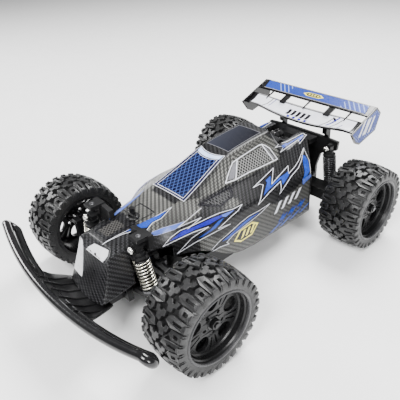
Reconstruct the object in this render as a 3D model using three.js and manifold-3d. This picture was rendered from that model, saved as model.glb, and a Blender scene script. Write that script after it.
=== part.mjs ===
// A 1:10 radio-controlled off-road buggy, as an assembly of its separate pieces.
//
// Millimetres, +Z up. The car's nose points to -Y and its left side to +X. The origin is on the
// ground, under the middle of the car's box. Pieces of the left side are built in car coordinates
// and the right side is the same group mirrored in X.
import * as THREE from "three";
import { mergeVertices } from "three/addons/utils/BufferGeometryUtils.js";
import Module from "manifold-3d";

const wasm = await Module();
wasm.setup();

// ---------------------------------------------------------------- driving dimensions
const TYRE_R = 48; // tyre radius, which is also the height of the axles
const TYRE_W = 48;
const WHEEL_SIDES = 20;
const RIM_R = 34;
const HALF_TRACK = 105; // centre of the car to the middle of a wheel
const FRONT_Y = -106; // front axle
const REAR_Y = 136; // rear axle
const GAP = 0.3; // between pieces that touch
const PIN_R = 1.8; // hinge pins
const BORE_R = 2.2; // and the holes they turn in

const FLOOR_Z = 25.5; // underside of the chassis tub
const FLOOR_T = 2;
const WALL_TOP = 46;
const SHELL_T = 1.5; // thickness of the body shell

const ARM_X = [22, 78]; // inner and outer pivots of the front wishbones
const LOWER_Z = 36;
const UPPER_Z = 60;
const KINGPIN_X = 87;
const STEER_LEVER = 16; // kingpin to tie rod, along Y
const TIE_Z = 50;
const SWING_X = 21; // pivot of the rear swing arms, at axle height

const FRONT_SHOCK = { y: -118.5, top: [37.5, 89.6], low: [52.5, 43] };
const REAR_SHOCK = { y: 152, top: [47, 94], low: [54, 47] };
const COIL_R = 6.8; // spring, to the middle of its wire
const WIRE = 1.5;

const GEAR_X = -7.3; // middle of the gear train's plane
const MODULE = 1.2;
const SPUR_TEETH = 30;
const PINION_TEETH = 10;
const MESH_ANGLE = 45; // degrees, the motor's rise in front of the rear axle
const MESH_DISTANCE = ((SPUR_TEETH + PINION_TEETH) * MODULE) / 2 + 0.2;

const BUMPER_R = 4.6;
const BUMPER_X = 126.8; // to the middle of the bar's end bends
const BUMPER_Y = -191;
const BUMPER_Z = 59.5;
const RAIL_STEP = [8.3, -10.5]; // from the front rail back and down to the rear rail

const WING_X = 80; // half span between the end plates

const material = (color, roughness, metalness = 0) =>
  new THREE.MeshStandardMaterial({ color, roughness, metalness });
const BLACK = material(0x17181a, 0.5);
const RUBBER = material(0x262628, 0.85);
const CARBON = material(0x3a3b3d, 0.3);
const STEEL = material(0xc9c6ba, 0.3, 0.9);
const DARK_STEEL = material(0x2d2e31, 0.35, 0.6);
const BLUE = material(0x4b6fd0, 0.35);
const WHITE = material(0xe6e7f2, 0.4);
const BRASS = material(0xb99a55, 0.4, 0.8);
const GREEN = material(0xc9e86a, 0.5);
const BOARD = material(0x1f5a35, 0.6);

// ---------------------------------------------------------------- solids
function solid(geometry) {
  const bare = geometry.index ? geometry.toNonIndexed() : geometry.clone();
  bare.deleteAttribute("normal");
  bare.deleteAttribute("uv");
  const merged = mergeVertices(bare, 1e-3);
  return new wasm.Manifold(
    new wasm.Mesh({
      numProp: 3,
      vertProperties: new Float32Array(merged.attributes.position.array),
      triVerts: new Uint32Array(merged.index.array),
    }),
  );
}

function geometryOf(body) {
  const mesh = body.getMesh();
  const geometry = new THREE.BufferGeometry();
  geometry.setAttribute("position", new THREE.BufferAttribute(mesh.vertProperties, 3));
  geometry.setIndex(new THREE.BufferAttribute(mesh.triVerts, 1));
  return geometry;
}

const join = (...bodies) => bodies.reduce((a, b) => a.add(b));
const cut = (body, ...tools) => tools.reduce((a, b) => a.subtract(b), body);

// A box from its lowest to its highest corner.
function box(low, high) {
  const size = high.map((v, i) => v - low[i]);
  const middle = high.map((v, i) => (v + low[i]) / 2);
  return solid(new THREE.BoxGeometry(...size).translate(...middle));
}

const TURN = {
  x: (g) => g.rotateZ(-Math.PI / 2),
  y: (g) => g,
  z: (g) => g.rotateX(Math.PI / 2),
};

// Thin rounds need few sides and thick ones more.
const sidesFor = (radius) => (radius < 3 ? 8 : radius < 6 ? 10 : 14);

// A round bar about a line along the axis, between two places on it.
function bar(axis, from, to, centre, radius, sides = sidesFor(radius)) {
  const g = TURN[axis](new THREE.CylinderGeometry(radius, radius, to - from, sides));
  const middle = (from + to) / 2;
  const at = { x: [middle, ...centre], y: [centre[0], middle, centre[1]], z: [...centre, middle] };
  return solid(g.translate(...at[axis]));
}

// A flat outline, extruded along the axis between two places. Points are [y, z], [x, z] or [x, y].
function plate(axis, from, to, points) {
  const shape = new THREE.Shape(points.map((p) => new THREE.Vector2(...p)));
  const g = new THREE.ExtrudeGeometry(shape, { depth: to - from, bevelEnabled: false });
  if (axis === "z") return solid(g.translate(0, 0, from));
  if (axis === "x") {
    const basis = new THREE.Matrix4().makeBasis(
      new THREE.Vector3(0, 1, 0), new THREE.Vector3(0, 0, 1), new THREE.Vector3(1, 0, 0));
    return solid(g.applyMatrix4(basis).translate(from, 0, 0));
  }
  return solid(g.rotateX(Math.PI / 2).translate(0, to, 0));
}

// A turned piece about the X axis, from [x, radius] points that start and end on the axis,
// or that close on themselves.
function turned(profile, sides) {
  const g = new THREE.LatheGeometry(profile.map(([x, r]) => new THREE.Vector2(r, x)), sides);
  return solid(g.rotateZ(-Math.PI / 2));
}

const mirrored = (points) => [...points, ...points.slice().reverse().map(([x, y]) => [-x, y])];

function mesh(name, body, look) {
  const m = new THREE.Mesh(geometryOf(body), look);
  m.name = name;
  return m;
}

// ---------------------------------------------------------------- chassis
const BATTERY_BAY = { x: 20, y: [-28, 52] };
const SWITCH_AT = [32, 66];

function tubOutline(inset) {
  return mirrored([
    [18 - inset, -146.2 + inset],
    [18 - inset, -76],
    [46 - inset, -58 + inset],
    [46 - inset, 84 - inset],
    [27 - inset, 100 - inset],
    [27 - inset, 166 - inset],
  ]).reverse();
}

// A lug with a hole along Y, for one end of a suspension arm's pin.
function lug(x, y, z, foot) {
  const block = join(
    box([x - 5, y - 3, foot], [x + 5, y + 3, z]),
    bar("y", y - 3, y + 3, [x, z], 5),
  );
  return cut(block, bar("y", y - 4, y + 4, [x, z], BORE_R));
}

function chassisTub() {
  const pan = plate("z", FLOOR_Z, WALL_TOP, tubOutline(0));
  const hollow = plate("z", FLOOR_Z + FLOOR_T, WALL_TOP + 1, tubOutline(2));
  const rearOpen = box([-40, 98, FLOOR_Z + FLOOR_T], [40, 170, WALL_TOP + 1]);
  let tub = cut(pan, hollow, rearOpen);
  for (const side of [-1, 1]) {
    for (const end of [-1, 1]) {
      const front = lug(ARM_X[0] * side, FRONT_Y + 21 * end, LOWER_Z, FLOOR_Z);
      const rear = lug(SWING_X * side, REAR_Y + 20 * end, TYRE_R, FLOOR_Z);
      tub = join(tub, cut(front, box([-16, -140, 20], [16, -70, 60])), rear);
    }
  }
  for (const side of [-1, 1]) tub = join(tub, bar("z", FLOOR_Z + 1, 95, [41 * side, 76], 2.6));
  const [sx, sy] = SWITCH_AT;
  return cut(
    tub,
    box([-BATTERY_BAY.x, BATTERY_BAY.y[0], 20], [BATTERY_BAY.x, BATTERY_BAY.y[1], 30]),
    box([sx - 2.8, sy - 5, 20], [sx + 2.8, sy + 5, 30]),
  );
}

function batteryDoor() {
  const [y0, y1] = BATTERY_BAY.y;
  const x = BATTERY_BAY.x - 0.5;
  const door = box([-x, y0 + 0.5, FLOOR_Z], [x, y1 - 0.5, FLOOR_Z + FLOOR_T]);
  const latch = box([-6, y0 + 2, FLOOR_Z - 1.2], [6, y0 + 5, FLOOR_Z + 0.5]);
  const ribs = [-12, 0, 12].map((at) =>
    box([at - 1, y0 + 12, FLOOR_Z - 0.8], [at + 1, y1 - 12, FLOOR_Z + 0.5]));
  return join(door, latch, ...ribs);
}

function batteryPack() {
  const cells = [-8.2, 8.2].map((x) => bar("y", -22, 46, [x, 38.5], 8.6));
  return join(...cells, box([-8, -20, 31], [8, 44, 46]));
}

// The slider of the power switch, at the front end of its slot.
function powerSwitch() {
  const x = SWITCH_AT[0];
  const y = SWITCH_AT[1] - 2.5;
  return join(
    box([x - 2.3, y - 2, FLOOR_Z - 1.5], [x + 2.3, y + 2, FLOOR_Z + FLOOR_T + 0.5]),
    box([x - 4, y - 4, FLOOR_Z + FLOOR_T + 0.4], [x + 4, y + 4, FLOOR_Z + FLOOR_T + 3]),
  );
}

function receiverBoard() {
  const z = FLOOR_Z + FLOOR_T;
  return join(
    box([25, -40, z + 3], [43, 10, z + 4.6]),
    box([28, -34, z + 4.5], [38, -22, z + 8]),
    box([29, -14, z + 4.5], [36, -4, z + 7]),
    ...[[27, -37], [41, -37], [27, 7], [41, 7]].map(([x, y]) => bar("z", z + GAP, z + 3.1, [x, y], 1.5)),
  );
}

// ---------------------------------------------------------------- body shell
// The left half of the moulded shell as a net of corner points. Each row runs from the middle
// of the car outwards and down: ridge, deck edge, waist, shoulder, sill.
const SHELL_ROWS = [
  [[0, -144, 77], [18, -143, 77], [20, -144, 74], [15, -151, 56], [9.5, -160, 38]],
  [[0, -134, 86], [19, -134, 85.5], [24.5, -140, 83], [26.5, -148, 61], [28.5, -157, 40]],
  [[0, -124, 89.5], [20, -124, 88], [26, -124, 84], [29, -124, 62], [30, -126, 44]],
  [[0, -88, 95], [23, -88, 93], [30, -87, 88], [36, -86, 74], [37, -86, 62]],
  [[0, -54, 101], [25, -54, 100], [35, -54, 96], [55, -57, 84], [56, -58, 64]],
  [[0, -30, 110.5], [22.5, -30, 109.5], [37, -30, 99], [60, -33, 86], [60, -35, 47]],
  [[0, -6, 120], [20.5, -6, 119], [37.5, -8, 101.5], [61, -12, 87], [60, -16, 37]],
  [[0, 12, 127.5], [19.5, 12, 126.5], [37.5, 14, 102.5], [61, 14, 87.5], [60, 14, 35]],
  [[0, 45, 131], [20, 45, 130], [37, 46, 103], [61, 46, 87], [60, 46, 34.5]],
  [[0, 76, 133], [20.5, 74, 132], [35, 78, 105], [60, 80, 86.5], [60, 80, 34]],
  [[0, 88, 112], [21, 88, 110], [34, 92, 108], [59.5, 96, 85], [60, 96, 34]],
  [[0, 131, 113], [18, 131, 113], [28, 131, 113], [59.5, 102.5, 84], [60, 103.5, 34]],
];
const REAR_ROW = 10; // behind this row the shell is open between its deck edges

// A sheet of triangles given thickness along its own normals, as a closed solid.
function thickened(points, faces, thickness) {
  const normals = points.map(() => new THREE.Vector3());
  for (const [a, b, c] of faces) {
    const [A, B, C] = [points[a], points[b], points[c]];
    const n = B.clone().sub(A).cross(C.clone().sub(A)).normalize();
    [a, b, c].forEach((i) => normals[i].add(n));
  }
  const inner = points.map((p, i) => p.clone().addScaledVector(normals[i].normalize(), -thickness));
  const count = points.length;
  const edges = new Map();
  for (const [a, b, c] of faces) {
    for (const [s, e] of [[a, b], [b, c], [c, a]]) {
      if (edges.has(`${e},${s}`)) edges.delete(`${e},${s}`);
      else edges.set(`${s},${e}`, [s, e]);
    }
  }
  const rim = [...edges.values()].flatMap(([s, e]) => [[s, count + s, count + e], [s, count + e, e]]);
  const back = faces.map(([a, b, c]) => [count + c, count + b, count + a]);
  const g = new THREE.BufferGeometry();
  const all = [...points, ...inner].flatMap((p) => p.toArray());
  g.setAttribute("position", new THREE.BufferAttribute(new Float32Array(all), 3));
  g.setIndex([...faces, ...back, ...rim].flat());
  return solid(g);
}

function bodyShell() {
  const rails = SHELL_ROWS[0].length;
  const across = 2 * rails - 1;
  const points = SHELL_ROWS.flatMap((row) => [
    ...row.slice(1).reverse().map(([x, y, z]) => new THREE.Vector3(-x, y, z)),
    ...row.map(([x, y, z]) => new THREE.Vector3(x, y, z)),
  ]);
  const quads = [];
  for (let r = 0; r + 1 < SHELL_ROWS.length; r++) {
    for (let c = 0; c + 1 < across; c++) {
      const overEngine = r >= REAR_ROW && (c === rails - 2 || c === rails - 1);
      const a = r * across + c;
      if (!overEngine) quads.push([a, a + 1, a + 1 + across, a + across]);
    }
  }
  for (let c = 0; c < rails - 2; c++) {
    const [left, right] = [across - 1 - c, c];
    quads.push([right + 1, right, left, left - 1]);
  }
  const faces = quads.flatMap(([a, b, c, d]) => [[a, b, c], [a, c, d]]);
  faces.push([rails - 1, rails - 2, rails]);
  const shell = thickened(points, faces, SHELL_T);
  const tools = [bar("z", 80, 110, [0, -96], 3.6)];
  for (const side of [-1, 1]) {
    const span = (a, b) => (side > 0 ? [a, b] : [-b, -a]);
    const [n0, n1] = span(20, 45);
    tools.push(box([n0, -122, 30], [n1, -83, 73]));
    const [t0, t1] = span(15, 45);
    tools.push(box([t0, -112, 70], [t1, -104, 110]));
  }
  return cut(shell, ...tools);
}

// ---------------------------------------------------------------- bumper
// A point of the loop: share runs from the middle (0) to an end (1), step from front rail to rear.
function railPoint(share, step) {
  const slope = (2 * 17.6 * share) / BUMPER_X;
  const back = (RAIL_STEP[0] * step) / Math.hypot(1, slope);
  return new THREE.Vector3(
    BUMPER_X * share - slope * back,
    BUMPER_Y + 17.6 * share ** 2 + back,
    BUMPER_Z + 5 * share ** 2 + 4.2 * share ** 4 + RAIL_STEP[1] * step,
  );
}

function bumperLoop() {
  const steps = 8;
  const reach = 0.94;
  const bulge = 7.6;
  const share = (i) => (reach * i) / steps;
  const span = Array.from({ length: 2 * steps + 1 }, (_, i) => i - steps);
  const bend = (side) => [-60, -20, 20, 60].map((deg) => {
    const t = THREE.MathUtils.degToRad(deg);
    const point = railPoint(reach * side, 0.5 + 0.5 * Math.sin(t));
    return point.add(new THREE.Vector3(side * bulge * Math.cos(t), 0, 0));
  });
  return ringTube([
    ...span.map((i) => railPoint(share(i), 0)),
    ...bend(1),
    ...span.slice().reverse().map((i) => railPoint(share(i), 1)),
    ...bend(-1).reverse(),
  ], BUMPER_R, 7);
}

// A tube round a closed line of points that lies nearly flat.
function ringTube(line, radius, sides) {
  const count = line.length;
  const vertices = [];
  const index = [];
  const up = new THREE.Vector3(0, 0, 1);
  line.forEach((p, i) => {
    const along = line[(i + 1) % count].clone().sub(line[(i + count - 1) % count]).normalize();
    const side = along.clone().cross(up).normalize();
    const rise = side.clone().cross(along).normalize();
    for (let k = 0; k < sides; k++) {
      const t = (2 * Math.PI * (k + 0.5)) / sides;
      const v = p.clone().addScaledVector(side, radius * Math.cos(t)).addScaledVector(rise, radius * Math.sin(t));
      vertices.push(...v.toArray());
      const [a, b] = [i * sides + k, i * sides + ((k + 1) % sides)];
      const [c, d] = [((i + 1) % count) * sides + k, ((i + 1) % count) * sides + ((k + 1) % sides)];
      index.push(a, c, b, b, c, d);
    }
  });
  const g = new THREE.BufferGeometry();
  g.setAttribute("position", new THREE.BufferAttribute(new Float32Array(vertices), 3));
  g.setIndex(index);
  const made = solid(g);
  if (made.volume() > 0) return made;
  g.setIndex(index.map((_, n) => index[n - (n % 3) + 2 - (n % 3)]));
  return solid(g);
}

// The loop's bracket: a plate that rises from the chassis to the rails, with ribs along its edges.
function frontBumper() {
  const rise = [[-147, 31], [-152, 32.5], [-173, 42], [-181, 49.5], [-189, 58.5]];
  const slab = (low, high) => plate("x", -50, 50, [
    ...rise.map(([y, z]) => [y, z + high]),
    ...rise.slice().reverse().map(([y, z]) => [y, z + low]),
  ]);
  const outline = (inset) => plate("z", 0, 99, mirrored(
    [[28 - inset, -146.5], [31 - inset, -158], [45 - inset, -174], [50 - inset, -189.5]]).reverse());
  const ribs = cut(slab(-3, 4), outline(3), box([-60, -162, 0], [60, -140, 99]));
  const gusset = (x) => plate("x", x - 1, x + 1, [[-176, 43], [-164, 36.5], [-164, 41], [-184, 54]]);
  const flange = box([-17, -149, FLOOR_Z + GAP], [17, -146.5, 44]);
  return join(
    bumperLoop(), slab(-3, 0).intersect(outline(0)), ribs.intersect(outline(0)),
    gusset(20), gusset(-20), flange,
  );
}

// ---------------------------------------------------------------- shock towers and wing
// The screw that a shock's top eye hangs on, with its head towards the nose.
function shockScrew(spec, x, back) {
  return join(
    bar("y", spec.y - 5.2, back, [x, spec.top[1]], 2),
    bar("y", spec.y - 7.2, spec.y - 4.9, [x, spec.top[1]], 3.4),
  );
}

function frontShockTower() {
  const [y0, y1] = [-110.5, -105.5];
  const [x, z] = FRONT_SHOCK.top;
  let tower = join(
    plate("y", y0, y1, mirrored([[15, 46.5], [15, 66], [21, 80], [44, 86], [46, 101], [18, 98], [16.5, 86]]).reverse()),
    box([-15, -119, FLOOR_Z + FLOOR_T + GAP], [15, -96, 58]),
    box([-17.5, -121.5, 57.2], [17.5, -90.5, 66]),
    bar("z", 60, 104, [0, -96], 2.8),
  );
  for (const side of [-1, 1]) {
    const [a, b] = side > 0 ? [31.5, 44] : [-44, -31.5];
    tower = join(tower, box([a, -121.5, 97], [b, y1, 101]), shockScrew(FRONT_SHOCK, x * side, y1));
    for (const end of [-1, 1]) {
      tower = join(tower, lug(ARM_X[0] * side, FRONT_Y + 12.5 * end, UPPER_Z, UPPER_Z - 5));
    }
  }
  return cut(tower, bar("x", -5, 5, [-96, 100.5], 1.3));
}

function rearShockTower() {
  const [y0, y1] = [160.3, 164.6];
  const x = REAR_SHOCK.top[0];
  let tower = join(
    plate("y", y0, y1, mirrored([[25, FLOOR_Z + FLOOR_T + GAP], [25, 60], [30, 78], [52, 88], [53, 99], [24, 101]]).reverse()),
    box([-13, 157.3, FLOOR_Z + FLOOR_T + GAP], [13, y1, 74]),
    box([-24, 144, 93], [24, y1, 99]),
  );
  for (const side of [-1, 1]) tower = join(tower, shockScrew(REAR_SHOCK, x * side, y1));
  return cut(tower, bar("y", 150, 170, [0, 84], 7));
}

function wingMount() {
  const post = (x) => plate("x", x - 3, x + 3, [
    [164.9, 80], [170, 80], [169, 118], [165, 126.5], [160, 124.5], [160, 104.5], [164.9, 101.5]]);
  return join(post(33), post(-33), box([-30, 164.9, 82], [30, 168.5, 88]));
}

// The main plane's front edge dips in the middle.
const planeDip = (x) => 6.3 * Math.max(0, 1 - (Math.abs(x) / 62) ** 2);

function wing() {
  const columns = 12;
  const t = 1.8;
  const vertices = [];
  const index = [];
  const section = (x) => {
    const d = planeDip(x);
    return [[145.2, 123.2 - d], [153, 125.2 - 0.7 * d], [162.6, 130.5 - 0.2 * d],
      [162.6, 130.5 - t - 0.2 * d], [153, 125.2 - t - 0.7 * d], [145.2, 123.2 - t - d]];
  };
  const ring = section(0).length;
  for (let i = 0; i <= columns; i++) {
    const x = -WING_X + (2 * WING_X * i) / columns;
    for (const [y, z] of section(x)) vertices.push(x, y, z);
  }
  for (let i = 0; i < columns; i++) {
    for (let k = 0; k < ring; k++) {
      const [a, b] = [i * ring + k, i * ring + ((k + 1) % ring)];
      index.push(a, b, a + ring, b, b + ring, a + ring);
    }
  }
  const cap = (start, flip) => {
    for (let k = 1; k + 1 < ring; k++) {
      const tri = [start, start + k, start + k + 1];
      index.push(...(flip ? tri.reverse() : tri));
    }
  };
  cap(0, true);
  cap(columns * ring, false);
  const g = new THREE.BufferGeometry();
  g.setAttribute("position", new THREE.BufferAttribute(new Float32Array(vertices), 3));
  g.setIndex(index);
  let plane = solid(g);
  if (plane.volume() < 0) {
    g.setIndex(index.map((_, n) => index[n - (n % 3) + 2 - (n % 3)]));
    plane = solid(g);
  }
  const flap = plate("x", -WING_X, WING_X, [[171.2, 133.8], [187.5, 140.4], [187, 142], [170.8, 135.6]].reverse());
  const rib = (x, half) => plate("x", x - half, x + half, [[158, 128], [172, 132.5], [173, 135], [160, 129.6]]);
  return join(plane, flap, rib(-58, 0.8), rib(0, 0.8), rib(58, 0.8), rib(-33, 4), rib(33, 4));
}

function wingEndPlate() {
  const outline = [[137.5, 124], [147.5, 110.8], [156.5, 106.5], [188.5, 114], [195.5, 133.5], [185.5, 142.5]];
  return plate("x", WING_X + GAP, WING_X + GAP + 2.2, outline);
}

// ---------------------------------------------------------------- suspension, left side
// Its web may stop short in front of the axle, to leave room for the shock.
function armWithBarrels(z, halfWidth, outerHalf, thickness, frontInner, frontOuter) {
  const [inner, outer] = ARM_X;
  const half = thickness / 2;
  const y = (v) => FRONT_Y + v;
  const web = plate("z", z - half, z + half, [
    [inner, y(-frontInner)], [outer - 2, y(-frontOuter)], [outer - 2, y(outerHalf)], [inner, y(halfWidth)]]);
  const window = plate("z", z - 9, z + 9, [
    [inner + 9, y(-frontInner + 4)], [outer - 16, y(-frontOuter + 3.4)],
    [outer - 16, y(outerHalf - 3.4)], [inner + 9, y(halfWidth - 5)]]);
  const barrel = (x, reach) => bar("y", y(-reach), y(reach), [x, z], 4);
  return join(
    cut(web, window), barrel(inner, halfWidth), barrel(outer, outerHalf),
    bar("y", y(-halfWidth - 5), y(halfWidth + 5), [inner, z], PIN_R),
    bar("y", y(-outerHalf - 3), y(outerHalf + 3), [outer, z], PIN_R),
  );
}

function frontLowerArm() {
  const [x, z] = FRONT_SHOCK.low;
  const stand = join(
    box([x - 7, -115.2, LOWER_Z - 2], [x + 3, -112.4, z + 2]),
    bar("y", FRONT_SHOCK.y - 4.5, -112.6, [x, z], 1.9),
  );
  return join(armWithBarrels(LOWER_Z, 17.5, 7, 5, 17.5, 7), stand);
}

const frontUpperArm = () => armWithBarrels(UPPER_Z, 9, 6, 3.4, 3.3, 3.3);

// The C-shaped carrier between the wishbones, which holds the kingpin.
function frontHubCarrier() {
  const x = ARM_X[1];
  const y = FRONT_Y;
  let block = join(
    box([x - 3, y - 14, LOWER_Z - 4.5], [x + 4.5, y - 8, UPPER_Z + 4.5]),
    box([x - 3, y + 8, LOWER_Z - 4.5], [x + 4.5, y + 14, UPPER_Z + 4.5]),
    box([x + 4.3, y - 14, LOWER_Z - 4.5], [x + 6.5, y + 14, LOWER_Z + 1.5]),
    box([x + 4.3, y - 14, UPPER_Z - 1.5], [x + 6.5, y + 14, UPPER_Z + 4.5]),
    plate("z", LOWER_Z - 2, LOWER_Z + 1.5, [[x + 5, y - 7], [KINGPIN_X + 5, y - 5], [KINGPIN_X + 5, y + 5], [x + 5, y + 7]]),
    plate("z", UPPER_Z - 1.5, UPPER_Z + 2, [[x + 5, y - 7], [KINGPIN_X + 5, y - 5], [KINGPIN_X + 5, y + 5], [x + 5, y + 7]]),
  );
  for (const z of [LOWER_Z, UPPER_Z]) block = cut(block, bar("y", y - 15, y + 15, [x, z], BORE_R));
  const leverWindow = box([x - 4, y + 7, TIE_Z - 8], [x + 20, y + 15, TIE_Z + 5]);
  return cut(block, bar("z", 30, 70, [KINGPIN_X, y], BORE_R), leverWindow);
}

function steeringKnuckle() {
  const y = FRONT_Y;
  const lever = y + STEER_LEVER;
  return join(
    bar("z", LOWER_Z + 2.2, UPPER_Z - 2.2, [KINGPIN_X, y], 5),
    bar("z", LOWER_Z - 1.5, UPPER_Z + 1.5, [KINGPIN_X, y], PIN_R),
    bar("x", KINGPIN_X, HALF_TRACK - 11, [y, TYRE_R], 5),
    bar("x", KINGPIN_X, HALF_TRACK + 19, [y, TYRE_R], 2.5),
    plate("z", TIE_Z - 6.2, TIE_Z - 3.3, [[KINGPIN_X - 4, y], [KINGPIN_X + 4, y], [ARM_X[1] + 9, lever + 3.5], [ARM_X[1] + 3, lever + 3.5]]),
    bar("z", TIE_Z - 4, TIE_Z + 3, [ARM_X[1] + 6, lever], 1.5),
  );
}

// Tie rod, parallel to the wishbones and as long, so it keeps pace with them.
function tieRod() {
  const y = FRONT_Y + STEER_LEVER;
  const [inner, outer] = ARM_X.map((x) => x + 6);
  const eye = cut(
    box([outer - 4, y - 6.4, TIE_Z - 2], [outer + 4, y + 5, TIE_Z + 2]),
    box([outer - 2.1, y - 4.9, TIE_Z - 3], [outer + 2.1, y + 3.4, TIE_Z + 3]),
  );
  return join(
    eye, bar("x", inner + 2, outer - 3.5, [y, TIE_Z], 1.8),
    bar("y", y - 1.8, y + 1.8, [inner, TIE_Z], 3.4),
    bar("y", y - 4.3, y + 4.3, [inner, TIE_Z], 1.5),
  );
}

function steeringRack() {
  const y = FRONT_Y + STEER_LEVER;
  const end = ARM_X[0] + 6;
  let rack = box([-end + 5, y - 2.4, TIE_Z - 2], [end - 5, y + 2.4, TIE_Z + 2]);
  for (const side of [-1, 1]) {
    const [a, b] = side > 0 ? [end - 6, end + 3] : [-end - 3, -end + 6];
    const fork = cut(
      box([a, y - 4.6, TIE_Z - 3], [b, y + 4.6, TIE_Z + 3]),
      side > 0 ? box([end - 4, y - 2.2, TIE_Z - 4], [end + 4, y + 2.2, TIE_Z + 4])
        : box([-end - 4, y - 2.2, TIE_Z - 4], [-end + 4, y + 2.2, TIE_Z + 4]),
    );
    rack = join(rack, cut(fork, bar("y", y - 6, y + 6, [end * side, TIE_Z], 1.9)));
  }
  const slotted = join(rack, box([-6, y - 5, TIE_Z - 2], [6, y + 5, TIE_Z + 2]));
  return cut(slotted, box([-2, y - 3.4, TIE_Z - 3], [2, y + 3.4, TIE_Z + 3]));
}

function servoHorn() {
  const y = FRONT_Y + STEER_LEVER;
  const hub = y + STEER_LEVER;
  return join(
    plate("z", TIE_Z + 2.6, TIE_Z + 5, [[-3, y - 3], [3, y - 3], [4.5, hub], [-4.5, hub]]),
    bar("z", TIE_Z + 2.6, TIE_Z + 6, [0, hub], 5),
    bar("z", TIE_Z - 2.5, TIE_Z + 3, [0, y], 1.5),
  );
}

function steeringServo() {
  const hub = FRONT_Y + 2 * STEER_LEVER;
  return join(
    box([-10, hub - 5, FLOOR_Z + FLOOR_T + GAP], [10, hub + 28, TIE_Z - 2.8]),
    box([-14, hub + 6, 40], [14, hub + 18, 43]),
    bar("z", TIE_Z - 3, TIE_Z + 2.2, [0, hub], 3),
  );
}

// ---------------------------------------------------------------- shocks
const shockLength = ({ top, low }) => Math.hypot(top[0] - low[0], top[1] - low[1]);

// Built along +Z from the lower eye. The cylinder holds the rod's bore.
function shockBody(length) {
  const body = join(
    bar("z", length - 30, length - 5, [0, 0], 4.6),
    bar("z", length - 10.2, length - 7.6, [0, 0], 7.6),
    bar("z", length - 8, length - 4, [0, 0], 5.6),
    box([-3.6, -3.4, length - 6], [3.6, 3.4, length]),
    bar("y", -3.4, 3.4, [0, length], 4.2),
  );
  return cut(body, bar("y", -5, 5, [0, length], 2.4), bar("z", length - 31, length - 12, [0, 0], 2.2));
}

function shockRod(length) {
  const rod = join(
    bar("z", 5, length - 22, [0, 0], 1.7),
    bar("z", 6, 8.4, [0, 0], 7.6),
    box([-2.6, -2.8, 2], [2.6, 2.8, 7]),
    bar("y", -2.8, 2.8, [0, 0], 4),
  );
  return cut(rod, bar("y", -5, 5, [0, 0], 2.7));
}

class Helix extends THREE.Curve {
  constructor(radius, low, high, turns) {
    super();
    Object.assign(this, { radius, low, high, turns });
  }
  getPoint(t, out = new THREE.Vector3()) {
    const a = 2 * Math.PI * this.turns * t;
    return out.set(this.radius * Math.cos(a), this.radius * Math.sin(a), this.low + (this.high - this.low) * t);
  }
}

function shockSpring(length) {
  const turns = 8;
  const h = WIRE / 2;
  const wire = new THREE.Shape([[-h, -h], [h, -h], [h, h], [-h, h]].map((p) => new THREE.Vector2(...p)));
  const path = new Helix(COIL_R, 8.4 + 1.3, length - 10.2 - 1.3, turns);
  return solid(new THREE.ExtrudeGeometry(wire, { steps: turns * 6, extrudePath: path, bevelEnabled: false }));
}

// A shock in place on the left side, as a group whose Z axis runs up the shock.
function shock(place, side, spec) {
  const length = shockLength(spec);
  const group = new THREE.Group();
  group.position.set(spec.low[0], spec.y, spec.low[1]);
  group.rotation.y = -Math.atan2(spec.low[0] - spec.top[0], spec.top[1] - spec.low[1]);
  group.add(
    mesh(`${place}_shock_body_${side}`, shockBody(length), BLACK),
    mesh(`${place}_shock_rod_${side}`, shockRod(length), DARK_STEEL),
    mesh(`${place}_spring_${side}`, shockSpring(length), place === "front" ? STEEL : DARK_STEEL),
  );
  return group;
}

// ---------------------------------------------------------------- rear drive
function rearSwingArm() {
  const y = REAR_Y;
  const z = TYRE_R;
  const [sx, sz] = REAR_SHOCK.low;
  const body = join(
    plate("x", SWING_X + 6, 79, [[y - 13, z - 7], [y + 8, z - 7], [y + 8, z + 6], [y - 13, z + 6]]),
    bar("x", 70, 90, [y, z], 9),
    box([SWING_X, y - 16, z - 4], [SWING_X + 9, y - 9, z + 4]),
    box([SWING_X, y + 9, z - 4], [SWING_X + 9, y + 16, z + 4]),
    box([SWING_X + 6, y + 5, z - 4], [SWING_X + 9, y + 10, z + 4]),
    bar("y", y - 16, y - 9, [SWING_X, z], 4),
    bar("y", y + 9, y + 16, [SWING_X, z], 4),
    bar("y", y - 22, y - 12, [SWING_X, z], PIN_R),
    bar("y", y + 12, y + 22, [SWING_X, z], PIN_R),
    bar("y", y + 7, REAR_SHOCK.y + 4, [sx, sz], 1.9),
  );
  return cut(body, bar("x", SWING_X - 6, 100, [y, z], 4), bar("x", SWING_X - 8, SWING_X + 8, [y, z], 7.8));
}

// Drive shaft: a ball in the differential's cup, and the wheel's square drive at the far end.
function driveShaft() {
  const shaft = bar("x", SWING_X, HALF_TRACK + 19, [REAR_Y, TYRE_R], 2.5);
  const ball = solid(new THREE.SphereGeometry(3.8, 12, 8).translate(SWING_X, REAR_Y, TYRE_R));
  return join(shaft, ball, bar("x", 91, 94, [REAR_Y, TYRE_R], 6, 6));
}

// A gear's outline about the origin, with straight-sided teeth thinned for backlash.
function gearOutline(teeth, phase) {
  const pitch = (teeth * MODULE) / 2;
  const root = pitch - 1.15 * MODULE;
  const tip = pitch + 0.8 * MODULE;
  const step = (2 * Math.PI) / teeth;
  const points = [];
  for (let i = 0; i < teeth; i++) {
    const at = (share, r) => {
      const a = phase + step * (i + share);
      points.push([r * Math.cos(a), r * Math.sin(a)]);
    };
    at(-0.29, root);
    at(-0.1, tip);
    at(0.1, tip);
    at(0.29, root);
  }
  return points;
}

const motorAxis = () => {
  const a = THREE.MathUtils.degToRad(MESH_ANGLE);
  return [REAR_Y - MESH_DISTANCE * Math.cos(a), TYRE_R + MESH_DISTANCE * Math.sin(a)];
};

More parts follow.
